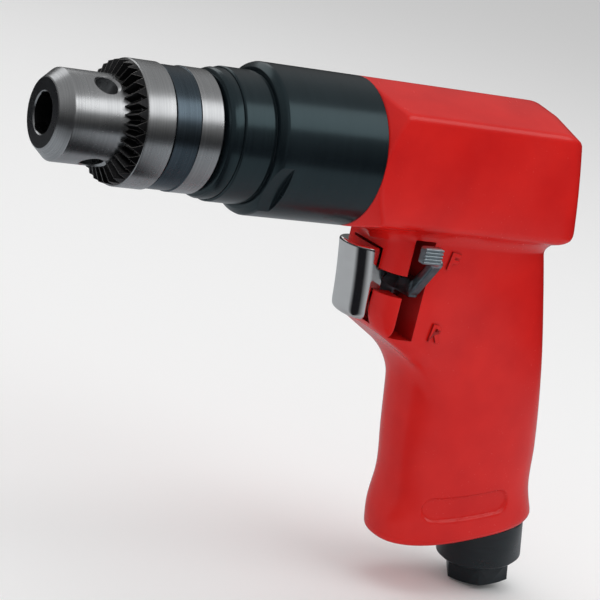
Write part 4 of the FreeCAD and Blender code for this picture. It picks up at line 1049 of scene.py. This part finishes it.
def makeFelt():
    felt = {"inner": 7.2, "outer": 11.0, "start": 0.6, "end": 11.25, "fluff": 0.12}
    x, _, z = housing["inlet"]
    turn = Matrix.Translation((x * mm, 0, z * mm)) @ Matrix.Rotation(math.pi / 2 - gripRake, 4, "Y")
    steps = np.linspace(felt["start"], felt["end"], 12)
    outline = [(x, felt["outer"]) for x in steps] + [(x, felt["inner"]) for x in steps[::-1]]
    mesh = turnedMesh("feltRing", outline, 140, turn)
    random = np.random.default_rng(7)
    for v in mesh.vertices:
        inward = turn.inverted() @ v.co
        axis = Vector((0, inward.y, inward.z)).normalized()
        v.co = turn @ (inward - axis * felt["fluff"] * mm * float(random.random()))
    return newPiece("feltRing", smoothed(mesh, 70), "housing", "muffler_felt",
                    [finishes["white_felt"]])


makeFelt()

for node, item in frame["nodes"].items():
    item.data.materials.clear()
    item.data.materials.append(finishes[nodeSlot[node]])
print("stage: inner parts finished")


# ---- floor, light and camera ----

# The floor's painted reflection: its sheen, the distances over which it fades, its dark colour and the angles
# of the dark wedge towards the camera.
studio = {"floorGap": 0.6, "floor": (0.95, 0.95, 0.95), "horizon": 0.03, "zenith": 0.35, "soft": 0.55,
          "sheet": (0.40, 0.52), "paintedSheen": (0.40, 0.42, 0.44), "paintedReflectionGap": (0.3, 0.75),
          "paintedDarkReflection": (0.01, 0.01, 0.012), "reach": 3000, "climb": (0.05, 0.7)}
lens = {"place": (-0.2588, -0.5386, 0.1130), "right": (0.84407, -0.48604, 0.22653),
        "up": (-0.06711, 0.32339, 0.94388), "ahead": (0.53202, 0.81191, -0.24034), "millimetres": 135.0}


def makeStage():
    far = studio["reach"]
    corners = [(-far, -far, 0), (far, -far, 0), (far, far, 0), (-far, far, 0)]
    mesh = plainMesh("floor", corners, [(0, 1, 2, 3)])
    for v in mesh.vertices:
        v.co.z = cadLow.z - studio["floorGap"] * mm
    floor = addObject("floor", mesh)
    paper, tree, shader = startFinish("paper", 0.0, Roughness=0.9, Specular_IOR_Level=0.0)
    # The floor's colour in reflections is painted: a grey sheen near the object, fading to dark further out.
    spot = put(tree, "ShaderNodeNewGeometry")
    away = put(tree, "ShaderNodeVectorMath", [(0, spot.outputs["Position"]), (1, tuple(heart))],
               operation="DISTANCE")
    paintedDarkReflection = spread(tree, away.outputs["Value"], studio["sheet"][0], studio["sheet"][1], 0.0, 1.0)
    # In reflections the floor is also painted dark in a wedge on the camera's side.
    side = put(tree, "ShaderNodeVectorMath", [(0, spot.outputs["Position"]), (1, tuple(heart))],
               operation="SUBTRACT")
    x, y, _ = put(tree, "ShaderNodeSeparateXYZ", [(0, side.outputs[0])]).outputs
    aheadX, aheadY, _ = lens["ahead"]
    along = blend(tree, x, -aheadX, y, -aheadY)
    across = blend(tree, x, aheadY, y, -aheadX)
    angle = mathNode(tree, "ABSOLUTE", mathNode(tree, "ARCTAN2", across, along))
    paintedReflectionGap = spread(tree, angle, studio["paintedReflectionGap"][0], studio["paintedReflectionGap"][1], 1.0, 0.0)
    paintedDarkReflection = mathNode(tree, "MAXIMUM", paintedDarkReflection, paintedReflectionGap)
    # Camera rays see the floor evenly pale; glossy rays see the painted reflection.
    path = put(tree, "ShaderNodeLightPath")
    mirrored = mixColour(tree, paintedDarkReflection, rgb(studio["paintedSheen"]), rgb(studio["paintedDarkReflection"]))
    give(tree, shader,
         Base_Color=mixColour(tree, path.outputs["Is Glossy Ray"], rgb(studio["floor"]), mirrored))
    mesh.materials.append(paper)
    world = bpy.data.worlds.new("studioAir")
    bpy.context.scene.world = world
    world.use_nodes = True
    air = world.node_tree
    place = put(air, "ShaderNodeTexCoord")
    parts = put(air, "ShaderNodeSeparateXYZ", [(0, place.outputs["Generated"])])
    seen = spread(air, parts.outputs["Z"], *studio["climb"], studio["horizon"], studio["zenith"])
    mirror = put(air, "ShaderNodeLightPath").outputs["Is Glossy Ray"]
    lift = blend(air, seen, mirror, mathNode(air, "SUBTRACT", 1.0, mirror), studio["soft"])
    give(air, air.nodes["Background"], Strength=lift)
    air.nodes["Background"].inputs["Color"].default_value = (1, 1, 1, 1)


def softBox(name, away, size, power, mirrored=True):
    light = bpy.data.lights.new(name, "AREA")
    light.shape, light.size, light.size_y, light.energy = "RECTANGLE", size[0], size[1], power
    item = addObject(name, light)
    item.location = heart + Vector(away)
    item.rotation_euler = (heart - item.location).to_track_quat("-Z", "Y").to_euler()
    item.visible_glossy = mirrored


heart = (cadLow + cadHigh) / 2
makeStage()
softBox("frontTop", (0.55, -0.65, 0.85), (1.1, 0.6), 2.6)
softBox("overhead", (0.0, 0.0, 1.2), (1.0, 1.0), 4.6, mirrored=False)
softBox("backTop", (-0.2, 1.0, 0.75), (1.2, 0.5), 1.6)
softBox("frontLow", (-0.4, -1.0, 0.05), (0.8, 0.5), 1.2, mirrored=False)

view = bpy.data.cameras.new("view")
view.lens, view.sensor_width, view.clip_start, view.clip_end = lens["millimetres"], 36.0, 0.01, 20.0
camera = addObject("view", view)
turn = Matrix((lens["right"], lens["up"], -Vector(lens["ahead"]))).transposed().to_4x4()
camera.matrix_world = Matrix.Translation(lens["place"]) @ turn
bpy.context.scene.camera = camera
bpy.context.scene.view_settings.view_transform = "Standard"
print("stage: light and camera")
